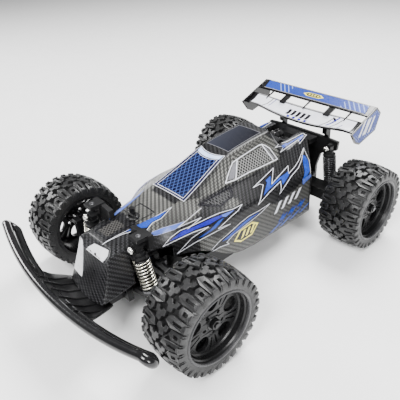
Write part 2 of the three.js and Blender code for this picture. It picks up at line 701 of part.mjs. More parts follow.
function gearAt(teeth, phase, [y, z], x0, x1) {
  return plate("x", x0, x1, gearOutline(teeth, phase).map(([a, b]) => [a + y, b + z]));
}

// The big gear on the rear axle, with a cup at each end for a drive shaft.
function driveGear() {
  const centre = [REAR_Y, TYRE_R];
  const toMotor = THREE.MathUtils.degToRad(180 - MESH_ANGLE);
  let body = join(
    gearAt(SPUR_TEETH, toMotor, centre, GEAR_X - 2.8, GEAR_X + 2.8),
    bar("x", -16, 16, centre, 4),
  );
  for (const side of [-1, 1]) {
    const [a, b] = side > 0 ? [13.2, 24] : [-24, -13.2];
    const [c, d] = side > 0 ? [15.5, 26] : [-26, -15.5];
    body = join(body, cut(bar("x", a, b, centre, 6.8), bar("x", c, d, centre, 5)));
  }
  return body;
}

function motorPinion() {
  const centre = motorAxis();
  const toGear = THREE.MathUtils.degToRad(-MESH_ANGLE) + Math.PI / PINION_TEETH;
  return cut(gearAt(PINION_TEETH, toGear, centre, GEAR_X - 3.2, GEAR_X + 3.2), bar("x", -20, 20, centre, 1.5));
}

function motor() {
  const centre = motorAxis();
  return join(
    bar("x", -1, 24.4, centre, 11.4),
    bar("x", -3.2, -0.8, centre, 4),
    bar("x", -10.8, 0, centre, 1.15),
    bar("x", 24.2, 27, centre, 4),
  );
}

// The gear case: open inside, with bores for the axle and the motor's boss.
function gearboxHousing() {
  const [my, mz] = motorAxis();
  const floor = FLOOR_Z + FLOOR_T + GAP;
  const toMotor = THREE.MathUtils.degToRad(180 - MESH_ANGLE);
  const arc = (y, z, r, from, to, steps) =>
    Array.from({ length: steps + 1 }, (_, i) => {
      const t = from + ((to - from) * i) / steps;
      return [y + r * Math.cos(t), z + r * Math.sin(t)];
    });
  const caseShape = (grow) => [
    ...arc(REAR_Y, TYRE_R, 19.4 + grow, toMotor + 0.9, toMotor + 2 * Math.PI - 0.9, 20),
    ...arc(my, mz, 7.6 + grow, toMotor - 1.1, toMotor + 1.1, 5),
  ];
  const [left, right] = [GEAR_X - 5, GEAR_X + 5];
  const shell = cut(
    plate("x", left, right, caseShape(1.5)),
    plate("x", left + 1.2, right - 1.2, caseShape(0)),
    box([-40, 80, 0], [40, 170, floor]),
  );
  const tube = join(
    bar("x", right - 0.2, 12.4, [REAR_Y, TYRE_R], 7.5),
    box([2, REAR_Y - 6, floor], [11, REAR_Y + 6, TYRE_R - 4]),
  );
  return cut(join(shell, tube), bar("x", -30, 30, [REAR_Y, TYRE_R], 4.5), bar("x", right - 4, right + 4, [my, mz], 4.5));
}

function engineInsert() {
  const z = 80;
  const fins = Array.from({ length: 5 }, (_, i) => box([-11, 96, z + 6 + 4 * i], [11, 116, z + 8 + 4 * i]));
  return join(
    box([-15, 92, z - 1], [15, 134, z + 3]),
    box([-8, 99, z], [8, 113, z + 26]),
    ...fins,
    bar("z", z + 2, z + 20, [0, 125], 6),
    bar("y", 112, 122, [0, z + 11.4], 3.7),
    bar("x", -16, 16, [128, z + 5], 3.5),
    box([-11, 129.5, 73], [-4, 133.5, z]),
  );
}

// ---------------------------------------------------------------- wheels
// Both are turned about X, with the outer face towards +X.
function tyre() {
  const w = TYRE_W / 2;
  return turned([
    [-w + 0.6, RIM_R + 0.5], [-w, RIM_R + 4], [-w + 1, TYRE_R - 6], [-w + 7, TYRE_R - 0.6], [-w + 14, TYRE_R],
    [w - 14, TYRE_R], [w - 7, TYRE_R - 0.6], [w - 1, TYRE_R - 6], [w, RIM_R + 4], [w - 0.6, RIM_R + 0.5],
    [w - 6, RIM_R - 2.2], [-w + 6, RIM_R - 2.2], [-w + 0.6, RIM_R + 0.5],
  ], WHEEL_SIDES);
}

const SPOKE_X = 9; // back of the spokes, from the middle of the wheel

function rim(boreRadius, turn) {
  const w = TYRE_W / 2;
  const barrel = turned([
    [-w + 0.2, RIM_R], [-w + 6, RIM_R - 2.8], [w - 6, RIM_R - 2.8], [w - 0.2, RIM_R],
    [w - 0.2, RIM_R - 1.8], [w - 8, RIM_R - 4.8], [-w + 8, RIM_R - 4.8], [-w + 0.2, RIM_R - 1.8],
    [-w + 0.2, RIM_R],
  ], WHEEL_SIDES);
  const disc = bar("x", SPOKE_X, SPOKE_X + 4, [0, 0], RIM_R - 4, WHEEL_SIDES);
  const holes = Array.from({ length: 5 }, (_, i) => {
    const a = (2 * Math.PI * i) / 5 + Math.PI / 2 + turn;
    return bar("x", 0, 20, [19.5 * Math.cos(a), 19.5 * Math.sin(a)], 7.6);
  });
  const hub = bar("x", -8, SPOKE_X + 5, [0, 0], 7);
  return cut(join(cut(disc, ...holes), hub, barrel), bar("x", -10, 30, [0, 0], boreRadius));
}

// The hexagonal nut that holds a wheel on its axle.
function wheelNut() {
  return cut(bar("x", SPOKE_X + 5.3, SPOKE_X + 8.8, [0, 0], 5, 6), bar("x", 0, 30, [0, 0], 2.8));
}

function wheel(place, side, y) {
  const group = new THREE.Group();
  group.position.set(HALF_TRACK, y, TYRE_R);
  // Each wheel stops at an angle of its own: the right front one with a spoke at the top.
  const turn = place === "front" && side === "right" ? Math.PI / 5 : 0;
  group.add(
    mesh(`${place}_rim_${side}`, rim(2.9, turn), BLACK),
    mesh(`${place}_tyre_${side}`, tyre(), RUBBER),
    mesh(`${place}_wheel_nut_${side}`, wheelNut(), STEEL),
  );
  return group;
}

// ---------------------------------------------------------------- body clip
// The bent wire clip that holds the shell on its post.
function bodyClip() {
  const r = 0.8;
  const z = 100.5;
  const legs = join(
    bar("x", -7, 9, [-96, z], r),
    bar("x", -5, 9, [-100.6, z], r),
  );
  const loop = solid(new THREE.TorusGeometry(2.3, r, 6, 14).translate(11, -98.3, z));
  return join(legs, loop);
}

// ---------------------------------------------------------------- assembly
function side(name) {
  const group = new THREE.Group();
  group.scale.x = name === "left" ? 1 : -1;
  group.add(
    mesh(`front_lower_arm_${name}`, frontLowerArm(), BLACK),
    mesh(`front_upper_arm_${name}`, frontUpperArm(), BLACK),
    mesh(`front_hub_carrier_${name}`, frontHubCarrier(), BLACK),
    mesh(`steering_knuckle_${name}`, steeringKnuckle(), BLACK),
    mesh(`tie_rod_${name}`, tieRod(), DARK_STEEL),
    mesh(`rear_swing_arm_${name}`, rearSwingArm(), BLACK),
    mesh(`drive_shaft_${name}`, driveShaft(), DARK_STEEL),
    mesh(`wing_end_plate_${name}`, wingEndPlate(), name === "left" ? BLUE : BLACK),
    shock("front", name, FRONT_SHOCK),
    shock("rear", name, REAR_SHOCK),
    wheel("front", name, FRONT_Y),
    wheel("rear", name, REAR_Y),
  );
  return group;
}

const buggy = new THREE.Group();
buggy.add(
  mesh("chassis_tub", chassisTub(), BLACK),
  mesh("battery_door", batteryDoor(), BLACK),
  mesh("battery_pack", batteryPack(), GREEN),
  mesh("power_switch", powerSwitch(), BLACK),
  mesh("receiver_board", receiverBoard(), BOARD),
  mesh("body_shell", bodyShell(), CARBON),
  mesh("body_clip", bodyClip(), STEEL),
  mesh("front_bumper", frontBumper(), BLACK),
  mesh("front_shock_tower", frontShockTower(), BLACK),
  mesh("rear_shock_tower", rearShockTower(), BLACK),
  mesh("wing_mount", wingMount(), BLACK),
  mesh("wing", wing(), WHITE),
  mesh("steering_servo", steeringServo(), BLACK),
  mesh("servo_horn", servoHorn(), WHITE),
  mesh("steering_rack", steeringRack(), DARK_STEEL),
  mesh("gearbox_housing", gearboxHousing(), BLACK),
  mesh("drive_gear", driveGear(), WHITE),
  mesh("motor_pinion", motorPinion(), BRASS),
  mesh("motor", motor(), STEEL),
  mesh("engine_insert", engineInsert(), BLACK),
  side("left"),
  side("right"),
);

export default buggy;
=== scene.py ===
import math

import bmesh
import bpy
from mathutils import Matrix, Vector
from mathutils.bvhtree import BVHTree
from mathutils.geometry import tessellate_polygon


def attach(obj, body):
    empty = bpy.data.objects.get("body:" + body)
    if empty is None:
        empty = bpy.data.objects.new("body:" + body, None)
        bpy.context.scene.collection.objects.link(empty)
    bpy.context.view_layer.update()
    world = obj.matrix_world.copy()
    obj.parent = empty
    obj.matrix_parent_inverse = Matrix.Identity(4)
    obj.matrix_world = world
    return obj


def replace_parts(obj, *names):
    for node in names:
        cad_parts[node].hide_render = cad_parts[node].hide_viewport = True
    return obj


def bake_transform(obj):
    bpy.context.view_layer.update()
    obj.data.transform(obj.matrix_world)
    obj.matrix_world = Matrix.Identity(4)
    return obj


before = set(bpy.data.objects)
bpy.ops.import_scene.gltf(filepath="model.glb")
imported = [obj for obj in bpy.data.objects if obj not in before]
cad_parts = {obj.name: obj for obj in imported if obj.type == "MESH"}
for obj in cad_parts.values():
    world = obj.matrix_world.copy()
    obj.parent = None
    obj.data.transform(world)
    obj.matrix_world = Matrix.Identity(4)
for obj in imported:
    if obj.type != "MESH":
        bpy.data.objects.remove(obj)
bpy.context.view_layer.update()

# The object is a 1:10 radio-controlled buggy, nose to -Y, left side to +X. Points below are in
# millimetres of the row frame, and become metres when a mesh is made.
MM = 0.001
AXLE_Z = 48
FRONT_Y = -106
REAR_Y = 136
HALF_TRACK = 105
FRONT_SHOCK = (-118.5, (37.5, 89.6), (52.5, 43))
REAR_SHOCK = (152, (47, 94), (54, 47))
SIDES = (("left", 1), ("right", -1))


# ---------------------------------------------------------------- materials
COAT_ROUGHNESS = 0.1


class Net:
    """A material's node tree, with short names for the nodes used here."""

    def __init__(self, name):
        self.material = bpy.data.materials.new(name)
        self.material.use_nodes = True
        self.tree = self.material.node_tree
        self.tree.nodes.clear()
        out = self.tree.nodes.new("ShaderNodeOutputMaterial")
        self.shader = self.tree.nodes.new("ShaderNodeBsdfPrincipled")
        self.tree.links.new(self.shader.outputs[0], out.inputs[0])
        self.coords = self.tree.nodes.new("ShaderNodeTexCoord").outputs["Object"]

    def put(self, value, socket):
        if isinstance(value, bpy.types.NodeSocket):
            self.tree.links.new(value, socket)
        else:
            socket.default_value = value

    def math(self, operation, a, b=0.0, c=0.0):
        node = self.tree.nodes.new("ShaderNodeMath")
        node.operation = operation
        for value, socket in zip((a, b, c), node.inputs):
            self.put(value, socket)
        return node.outputs[0]

    def mix(self, share, a, b):
        node = self.tree.nodes.new("ShaderNodeMix")
        node.data_type = "RGBA"
        self.put(share, node.inputs[0])
        for value, socket in ((a, node.inputs[6]), (b, node.inputs[7])):
            self.put((*value, 1) if isinstance(value, tuple) else value, socket)
        return node.outputs[2]

    def noise(self, scale, detail=3.0, stretch=None):
        node = self.tree.nodes.new("ShaderNodeTexNoise")
        node.inputs["Scale"].default_value = scale
        node.inputs["Detail"].default_value = detail
        vector = self.coords
        if stretch:
            mapping = self.tree.nodes.new("ShaderNodeMapping")
            mapping.inputs["Scale"].default_value = stretch
            self.tree.links.new(self.coords, mapping.inputs[0])
            vector = mapping.outputs[0]
        self.tree.links.new(vector, node.inputs["Vector"])
        return node.outputs[0]

    def span(self, value, low, high, to_low=0.0, to_high=1.0):
        node = self.tree.nodes.new("ShaderNodeMapRange")
        for v, socket in zip((value, low, high, to_low, to_high), node.inputs):
            self.put(v, socket)
        return node.outputs[0]

    def uneven(self, scale, detail, low=0.0, high=1.0):
        """A noise spread over low to high."""
        return self.span(self.noise(scale, detail), 0.3, 0.7, low, high)

    def xyz(self, vector):
        node = self.tree.nodes.new("ShaderNodeSeparateXYZ")
        self.tree.links.new(vector, node.inputs[0])
        return node.outputs

    def bump(self, height, strength, distance):
        node = self.tree.nodes.new("ShaderNodeBump")
        node.inputs["Strength"].default_value = strength
        node.inputs["Distance"].default_value = distance
        self.tree.links.new(height, node.inputs["Height"])
        self.tree.links.new(node.outputs[0], self.shader.inputs["Normal"])

    def finish(self, colour, rough, metal=0.0, coat=0.0, gloss=0.3):
        self.put((*colour, 1) if isinstance(colour, tuple) else colour, self.shader.inputs["Base Color"])
        self.put(rough, self.shader.inputs["Roughness"])
        self.shader.inputs["Metallic"].default_value = metal
        self.shader.inputs["Coat Weight"].default_value = coat
        self.shader.inputs["Coat Roughness"].default_value = COAT_ROUGHNESS
        self.shader.inputs["Specular IOR Level"].default_value = gloss
        return self.material


def moulded(name, dark, light, rough=(0.32, 0.5), grain=900, bump=0.25, coat=0.0):
    """Moulded plastic or cast metal: uneven tone and roughness, and a fine grain."""
    net = Net(name)
    tone = net.uneven(38, 4)
    fine = net.noise(grain, 2)
    wear = net.span(net.noise(160, 5), 0.58, 0.75, 0, 0.5)
    colour = net.mix(net.math("ADD", tone, wear), dark, light)
    net.bump(fine, bump, 0.0003)
    return net.finish(colour, net.span(fine, 0.3, 0.7, *rough), 0.0, coat, gloss=0.24)


def drawn_metal(name, dark, light, rough=(0.16, 0.34), metal=1.0):
    """Wire or turned metal: streaks along it, and dull patches."""
    net = Net(name)
    streak = net.noise(140, 4, (6, 1, 1))
    colour = net.mix(net.span(streak, 0.3, 0.7), dark, light)
    net.bump(streak, 0.12, 0.0002)
    return net.finish(colour, net.span(net.noise(90, 3), 0.35, 0.7, *rough), metal)


def rubber(name, dark, light):
    net = Net(name)
    dust = net.span(net.noise(30, 5), 0.35, 0.7)
    pores = net.noise(1400, 3)
    scuff = net.span(net.noise(220, 4, (1, 1, 1)), 0.5, 0.7)
    colour = net.mix(dust, dark, light)
    colour = net.mix(net.math("MULTIPLY", scuff, 0.35), colour, tuple(c * 2.2 for c in light))
    net.bump(pores, 0.35, 0.0004)
    return net.finish(colour, net.span(pores, 0.3, 0.7, 0.3, 0.46), gloss=0.38)


def printed_shell():
    """A printed twill of carbon fibre under a clear skin, with smoky silver areas."""
    net = Net("printed_shell")
    x, y, z = net.xyz(net.coords)
    geometry = net.tree.nodes.new("ShaderNodeNewGeometry")
    _, ny, nz = net.xyz(geometry.outputs["Normal"])
    top = net.math("GREATER_THAN", net.math("ABSOLUTE", nz), 0.6)
    front = net.math("GREATER_THAN", net.math("ABSOLUTE", ny), 0.72)
    across = net.math("MAXIMUM", top, front)
    cell = 1 / 0.0016
    u = net.math("ADD", y, net.math("MULTIPLY", net.math("SUBTRACT", x, y), across))
    v = net.math("ADD", z, net.math("MULTIPLY", net.math("SUBTRACT", y, z), top))
    u = net.math("MULTIPLY", net.math("ADD", u, net.math("MULTIPLY", v, 0.3)), cell)
    v = net.math("MULTIPLY", v, cell)
    i = net.math("FLOOR", u)
    j = net.math("FLOOR", v)
    turn = net.math("FLOORED_MODULO", net.math("ADD", i, j), 4.0)
    over = net.math("LESS_THAN", turn, 1.5)
    round_u = net.math("SINE", net.math("MULTIPLY", net.math("FRACT", u), math.pi))
    round_v = net.math("SINE", net.math("MULTIPLY", net.math("FRACT", v), math.pi))
    thread = net.math("POWER", net.math("MULTIPLY", round_u, round_v), 0.75)
    weft = net.math("MULTIPLY", net.math("SUBTRACT", 1.0, over), 0.1)
    weave = net.math("MULTIPLY", thread, net.math("ADD", over, weft))
    sheen = net.span(net.noise(22, 3), 0.35, 0.65, 0.35, 1.0)
    weave = net.math("MULTIPLY", weave, sheen)
    black = net.mix(weave, (0.0015, 0.0015, 0.0018), (0.055, 0.055, 0.059))
    silver = net.mix(weave, (0.022, 0.022, 0.021), (0.25, 0.25, 0.235))
    area = net.tree.nodes.new("ShaderNodeAttribute")
    area.attribute_name = "silver"
    smoke = net.math("SUBTRACT", net.noise(60, 4), 0.5)
    share = net.span(net.math("ADD", area.outputs["Fac"], net.math("MULTIPLY", smoke, 0.9)), 0.25, 0.75)
    net.bump(weave, 0.12, 0.0002)
    return net.finish(net.mix(share, black, silver), net.uneven(300, 3, 0.26, 0.38), gloss=0.24)


def ink(name, colour, other=None):
    """A printed sticker: a slight unevenness in the ink and a satin skin."""
    net = Net(name)
    other = other or tuple(min(1.0, c * 1.25 + 0.004) for c in colour)
    tone = net.uneven(120, 4)
    fine = net.noise(700, 2)
    net.bump(fine, 0.08, 0.0001)
    return net.finish(net.mix(tone, colour, other), net.span(fine, 0.3, 0.7, 0.22, 0.34), 0, 0.15, gloss=0.2)


def lattice(name, ground, line, axes, pitch, width, tilt=1.0):
    """A printed mesh of crossed slanting lines. axes picks the two object axes it is drawn in."""
    net = Net(name)
    at = net.xyz(net.coords)
    u, v = (net.math("DIVIDE", at[k], pitch * MM) for k in axes)
    v = net.math("MULTIPLY", v, tilt)
    hits = []
    for way in ("ADD", "SUBTRACT"):
        wave = net.math("FRACT", net.math(way, u, v))
        hits.append(net.math("LESS_THAN", wave, width))
    hit = net.math("MAXIMUM", *hits)
    net.bump(hit, 0.2, 0.0002)
    return net.finish(net.mix(hit, ground, line), net.uneven(300, 2, 0.22, 0.34), gloss=0.2)


def tinted_roof():
    net = Net("roof_glass_print")
    x, y, _ = net.xyz(net.coords)
    fade = net.span(net.math("ADD", x, net.math("MULTIPLY", y, 0.4)), -0.01, 0.045)
    colour = net.mix(fade, (0.022, 0.024, 0.034), (0.002, 0.002, 0.004))
    return net.finish(colour, net.uneven(300, 2, 0.16, 0.26), gloss=0.15)


def streaked(name, ground, streak, axis=0, pitch=4.2, band=None):
    """Slanted speed streaks on a plain ground, only inside the given bands of the axis."""
    net = Net(name)
    at = net.xyz(net.coords)
    slanted = net.math("ADD", at[axis], net.math("MULTIPLY", at[1], 0.9))
    wave = net.math("FRACT", net.math("DIVIDE", slanted, pitch * MM))
    hit = net.math("LESS_THAN", wave, 0.24)
    inside = 0.0
    for low, high in band:
        a = net.math("GREATER_THAN", at[axis], low * MM)
        b = net.math("LESS_THAN", at[axis], high * MM)
        inside = net.math("MAXIMUM", inside, net.math("MULTIPLY", a, b))
    broken = net.math("GREATER_THAN", net.noise(55, 2), 0.44)
    hit = net.math("MULTIPLY", net.math("MULTIPLY", hit, inside), broken)
    tone = net.mix(net.span(net.noise(26, 3), 0.35, 0.65), ground, tuple(c * 0.8 for c in ground))
    return net.finish(net.mix(hit, tone, streak), net.uneven(400, 2, 0.24, 0.36), gloss=0.18)


PLASTIC = moulded("black_plastic", (0.003, 0.003, 0.0033), (0.008, 0.008, 0.0085), (0.3, 0.46))
GLOSS = moulded("gloss_black", (0.0035, 0.0035, 0.004), (0.008, 0.008, 0.0085), (0.14, 0.26), 500, 0.1, 0.5)
RIM = moulded("rim_plastic", (0.004, 0.004, 0.0045), (0.011, 0.011, 0.0115), (0.24, 0.36), 700, 0.18)
LIP = moulded("rim_lip", (0.028, 0.028, 0.03), (0.05, 0.05, 0.052), (0.22, 0.34), 700, 0.15)
TYRE = rubber("tyre_rubber", (0.005, 0.005, 0.0053), (0.012, 0.012, 0.0124))
# The groove floor is the tread's own rubber painted about three times darker: painted shade between the tread
# blocks.
GROOVE_SHADE = rubber("tyre_groove_painted_shade", (0.0015, 0.0015, 0.0017), (0.004, 0.004, 0.0042))
SHELL = printed_shell()
SPRING = drawn_metal("front_spring_wire", (0.62, 0.59, 0.48), (0.9, 0.88, 0.79))
DARK_SPRING = drawn_metal("rear_spring_wire", (0.03, 0.03, 0.032), (0.075, 0.075, 0.08), (0.2, 0.36), 0.7)
CHROME = drawn_metal("screw_chrome", (0.7, 0.7, 0.66), (0.92, 0.92, 0.88), (0.12, 0.26))
DARK_STEEL = drawn_metal("dark_steel", (0.05, 0.05, 0.054), (0.12, 0.12, 0.125), (0.24, 0.42), 0.8)
BRASS = drawn_metal("brass", (0.5, 0.34, 0.12), (0.66, 0.47, 0.2))
CAN = drawn_metal("motor_can", (0.4, 0.4, 0.41), (0.6, 0.6, 0.6))
WHITE_PLASTIC = moulded("white_plastic", (0.62, 0.62, 0.6), (0.72, 0.72, 0.7))
CELL = moulded("cell_wrap", (0.4, 0.66, 0.09), (0.5, 0.75, 0.14), (0.25, 0.4), 500, 0.1)
BOARD = moulded("circuit_board", (0.008, 0.07, 0.025), (0.012, 0.11, 0.04), (0.3, 0.5), 600, 0.2)
WHITE = ink("decal_white", (0.62, 0.63, 0.68))
BLACK_INK = ink("decal_black", (0.004, 0.004, 0.006))
NAVY = ink("decal_navy", (0.003, 0.004, 0.026))
BLUE = ink("decal_blue", (0.008, 0.03, 0.23), (0.016, 0.055, 0.33))
DEEP_BLUE = ink("decal_deep_blue", (0.006, 0.006, 0.18), (0.014, 0.015, 0.28))
PERIWINKLE = ink("decal_periwinkle", (0.04, 0.075, 0.33), (0.075, 0.125, 0.42))
SILVER = ink("decal_silver", (0.2, 0.2, 0.21), (0.3, 0.3, 0.3))
# Pale ink on the nose is painted highlight: on the top chamfer and on the far front facet.
NOSE_HIGHLIGHT = ink("painted_nose_highlight", (0.56, 0.57, 0.58), (0.68, 0.68, 0.7))
YELLOW = ink("decal_yellow", (0.78, 0.68, 0.1), (0.86, 0.78, 0.16))
GREY_LINE = ink("decal_grey_line", (0.13, 0.13, 0.145))
WINDSCREEN = lattice("windscreen_print", (0.002, 0.003, 0.02), (0.035, 0.065, 0.2), (0, 1), 5.4, 0.15, 0.8)
SIDE_MESH = lattice("side_window_print", (0.004, 0.004, 0.005), (0.2, 0.2, 0.195), (1, 2), 3.8, 0.3, 1.0)
VENT_MESH = lattice("vent_print", (0.003, 0.003, 0.003), (0.045, 0.045, 0.048), (1, 2), 3.4, 0.28, 1.0)
HATCH_MESH = lattice("hatch_print", (0.005, 0.005, 0.005), (0.05, 0.048, 0.046), (0, 1), 3.4, 0.32, 0.8)
SUN_STRIP = ink("decal_sun_strip", (0.36, 0.5, 0.84), (0.6, 0.7, 0.92))
ROOF = tinted_roof()
WING_BLUE = streaked("wing_blue_print", (0.014, 0.04, 0.25), (0.2, 0.27, 0.5), 0, 6.4, ((-62, -34), (42, 74)))
WING_WHITE = ink("wing_white_print", (0.6, 0.61, 0.68), (0.72, 0.73, 0.78))
PLATE_BLUE = streaked(
    "end_plate_print", (0.028, 0.055, 0.27), (0.2, 0.25, 0.46), 2, 3.6, ((112, 121), (131, 141))
)


# ---------------------------------------------------------------- mesh helpers
def piece(name, points, faces, look, body, slot, sharp=38):
    """A mesh piece from points in millimetres, riding on a body."""
    mesh = bpy.data.meshes.new(name)
    mesh.from_pydata([Vector(p) * MM for p in points], [], faces)
    mesh.validate()
    mesh.materials.append(look)
    mesh.polygons.foreach_set("use_smooth", [True] * len(mesh.polygons))
    thing = bpy.data.objects.new(name, mesh)
    bpy.context.scene.collection.objects.link(thing)
    crease_by_angle(mesh, sharp)
    if body:
        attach(thing, body)
    return thing


def crease_by_angle(mesh, degrees):
    bm = bmesh.new()
    bm.from_mesh(mesh)
    for edge in bm.edges:
        if len(edge.link_faces) == 2 and edge.calc_face_angle(0) > math.radians(degrees):
            edge.smooth = False
    bm.to_mesh(mesh)
    bm.free()


def bevelled(thing, width, segments=2, angle=30):
    edge = thing.modifiers.new("edge", "BEVEL")
    edge.width = width * MM
    edge.segments = segments
    edge.limit_method = "ANGLE"
    edge.angle_limit = math.radians(angle)
    return thing


def flipped(faces):
    return [tuple(reversed(f)) for f in faces]


def mirror_x(points, faces):
    return [(-x, y, z) for x, y, z in points], flipped(faces)


def lathe(profile, sides, closed=False):
    """Turned about the X axis from (x, radius) points."""
    points = []
    faces = []
    count = len(profile)
    for i in range(sides):
        a = 2 * math.pi * i / sides
        points += [(x, r * math.cos(a), r * math.sin(a)) for x, r in profile]
    for i in range(sides):
        for k in range(count if closed else count - 1):
            a, b = i * count + k, i * count + (k + 1) % count
            c, d = (i + 1) % sides * count + k, (i + 1) % sides * count + (k + 1) % count
            faces.append((a, b, d, c))
    return points, faces


def turning(loop):
    """Twice the area of a flat loop: positive when it runs anticlockwise."""
    return sum(a[0] * b[1] - b[0] * a[1] for a, b in zip(loop, loop[1:] + loop[:1]))


def slab(outline, holes, low, high):
    """A flat plate with holes, between two heights of its third coordinate."""
    loops = [outline, *holes]
    flat = [[Vector((p[0], p[1], 0)) for p in loop] for loop in loops]
    tris = tessellate_polygon(flat)
    base = [p for loop in loops for p in loop]
    count = len(base)
    points = [(*p[:2], low) for p in base] + [(*p[:2], high) for p in base]
    tris = [t if turning([base[i] for i in t]) > 0 else tuple(reversed(t)) for t in tris]
    faces = flipped(tris) + [tuple(i + count for i in t) for t in tris]
    start = 0
    for loop in loops:
        n = len(loop)
        turn = turning(loop)
        for i in range(n):
            a, b = start + i, start + (i + 1) % n
            outward = (turn > 0) == (loop is outline)
            wall = (a, b, b + count, a + count)
            faces.append(wall if outward else tuple(reversed(wall)))
        start += n
    return points, faces


def merged(*parts):
    points = []
    faces = []
    for part_points, part_faces in parts:
        start = len(points)
        points += part_points
        faces += [tuple(i + start for i in f) for f in part_faces]
    return points, faces


def tube(line, radius, sides=12, closed=False, up=(0, 0, 1)):
    """A round tube along points, with its ends capped unless it is closed."""
    line = [Vector(p) for p in line]
    count = len(line)
    points = []
    for i, p in enumerate(line):
        before = line[(i - 1) % count] if closed or i else p
        after = line[(i + 1) % count] if closed or i + 1 < count else p
        along = (after - before).normalized()
        side = along.cross(Vector(up)).normalized()
        rise = side.cross(along)
        for k in range(sides):
            t = 2 * math.pi * k / sides
            points.append(tuple(p + side * radius * math.cos(t) + rise * radius * math.sin(t)))
    faces = []
    for i in range(count if closed else count - 1):
        for k in range(sides):
            a, b = i * sides + k, i * sides + (k + 1) % sides
            c, d = (i + 1) % count * sides + k, (i + 1) % count * sides + (k + 1) % sides
            faces.append((a, b, d, c))
    if not closed:
        faces += [tuple(range(sides)), tuple(reversed(range((count - 1) * sides, count * sides)))]
    return points, faces


# ---------------------------------------------------------------- CAD pieces that stay
LOOKS = {
    "chassis_tub": PLASTIC, "battery_door": PLASTIC, "battery_pack": CELL, "power_switch": PLASTIC,
    "receiver_board": BOARD, "body_clip": PLASTIC, "front_shock_tower": PLASTIC, "wing_mount": PLASTIC,
    "rear_shock_tower": PLASTIC, "wing": GLOSS, "steering_servo": PLASTIC, "servo_horn": WHITE_PLASTIC,
    "steering_rack": DARK_STEEL, "gearbox_housing": PLASTIC, "drive_gear": WHITE_PLASTIC,
    "motor_pinion": BRASS, "motor": CAN, "engine_insert": GLOSS,
}
BY_KIND = {
    "front_lower_arm": PLASTIC, "front_upper_arm": PLASTIC, "front_hub_carrier": PLASTIC,
    "steering_knuckle": PLASTIC, "tie_rod": DARK_STEEL, "rear_swing_arm": PLASTIC,
    "drive_shaft": DARK_STEEL, "wing_end_plate": GLOSS, "front_shock_body": PLASTIC,
    "rear_shock_body": PLASTIC, "front_shock_rod": DARK_STEEL, "rear_shock_rod": DARK_STEEL,
    "front_wheel_nut": PLASTIC, "rear_wheel_nut": PLASTIC,
}
REBUILT = ("body_shell", "front_bumper", "rim", "tyre", "spring")


def dress_cad():
    for name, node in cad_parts.items():
        if any(word in name for word in REBUILT):
            continue
        look = LOOKS.get(name) or BY_KIND[name.rsplit("_", 1)[0]]
        node.data.materials.clear()
        node.data.materials.append(look)
        if "custom_normal" in node.data.attributes:
            node.data.attributes.remove(node.data.attributes["custom_normal"])
        node.data.polygons.foreach_set("use_smooth", [True] * len(node.data.polygons))
        weld = node.modifiers.new("weld", "WELD")
        weld.merge_threshold = 0.00001
        bevelled(node, 0.35, 2, 32)
        even = node.modifiers.new("even", "WEIGHTED_NORMAL")
        even.keep_sharp = True


# ---------------------------------------------------------------- body shell
ROWS = [
    [(0, -144, 77), (18, -143, 77), (20, -144, 74), (15, -151, 56), (9.5, -160, 38)],
    [(0, -134, 86), (19, -134, 85.5), (24.5, -140, 83), (26.5, -148, 61), (28.5, -157, 40)],
    [(0, -124, 89.5), (20, -124, 88), (26, -124, 84), (29, -124, 62), (30, -126, 44)],
    [(0, -88, 95), (23, -88, 93), (30, -87, 88), (36, -86, 74), (37, -86, 62)],
    [(0, -54, 101), (25, -54, 100), (35, -54, 96), (55, -57, 84), (56, -58, 64)],
    [(0, -30, 110.5), (22.5, -30, 109.5), (37, -30, 99), (60, -33, 86), (60, -35, 47)],
    [(0, -6, 120), (20.5, -6, 119), (37.5, -8, 101.5), (61, -12, 87), (60, -16, 37)],
    [(0, 12, 127.5), (19.5, 12, 126.5), (37.5, 14, 102.5), (61, 14, 87.5), (60, 14, 35)],
    [(0, 45, 131), (20, 45, 130), (37, 46, 103), (61, 46, 87), (60, 46, 34.5)],
    [(0, 76, 133), (20.5, 74, 132), (35, 78, 105), (60, 80, 86.5), (60, 80, 34)],
    [(0, 88, 112), (21, 88, 110), (34, 92, 108), (59.5, 96, 85), (60, 96, 34)],
    [(0, 131, 113), (18, 131, 113), (28, 131, 113), (59.5, 102.5, 84), (60, 103.5, 34)],
]
REAR_ROW = 10
RAIL_CREASE = (0.0, 0.93, 0.8, 0.93, 0.0)
ROW_CREASE = {0: 0.95, 1: 0.55, 9: 0.9, 10: 0.85}
CLIP_Y = -96
POST_HOLE = 3.6
CUTS = [((20, -122, 30), (45, -83, 73)), ((15, -112, 70), (45, -104, 110))]
SOFT_EDGE = ((0, 0), (3, 0), (-3, 0), (0, 3), (0, -3))
SILVER_AREAS = [
    [(-46, 99), (-18, 112), (0, 122), (16, 128), (66, 131), (75, 122), (77, 108), (70, 104), (23, 103),
     (-7, 104), (-28, 102)],
    [(-30, 91.6), (-14.6, 95), (-4, 95), (-4, 92), (-13, 90.5)],
    [(-60, 79), (-40, 68), (-10, 76), (26, 76), (48, 70), (64, 76), (100, 78), (100, 30), (-60, 30)],
    [(-98, 98), (-40, 102), (-46, 94), (-66, 88), (-98, 88)],
]


def inside(poly, u, v):
    hit = False
    for i, (a, b) in enumerate(poly):
        c, d = poly[i - 1]
        if (b > v) != (d > v) and u < (c - a) * (v - b) / (d - b) + a:
            hit = not hit
    return hit


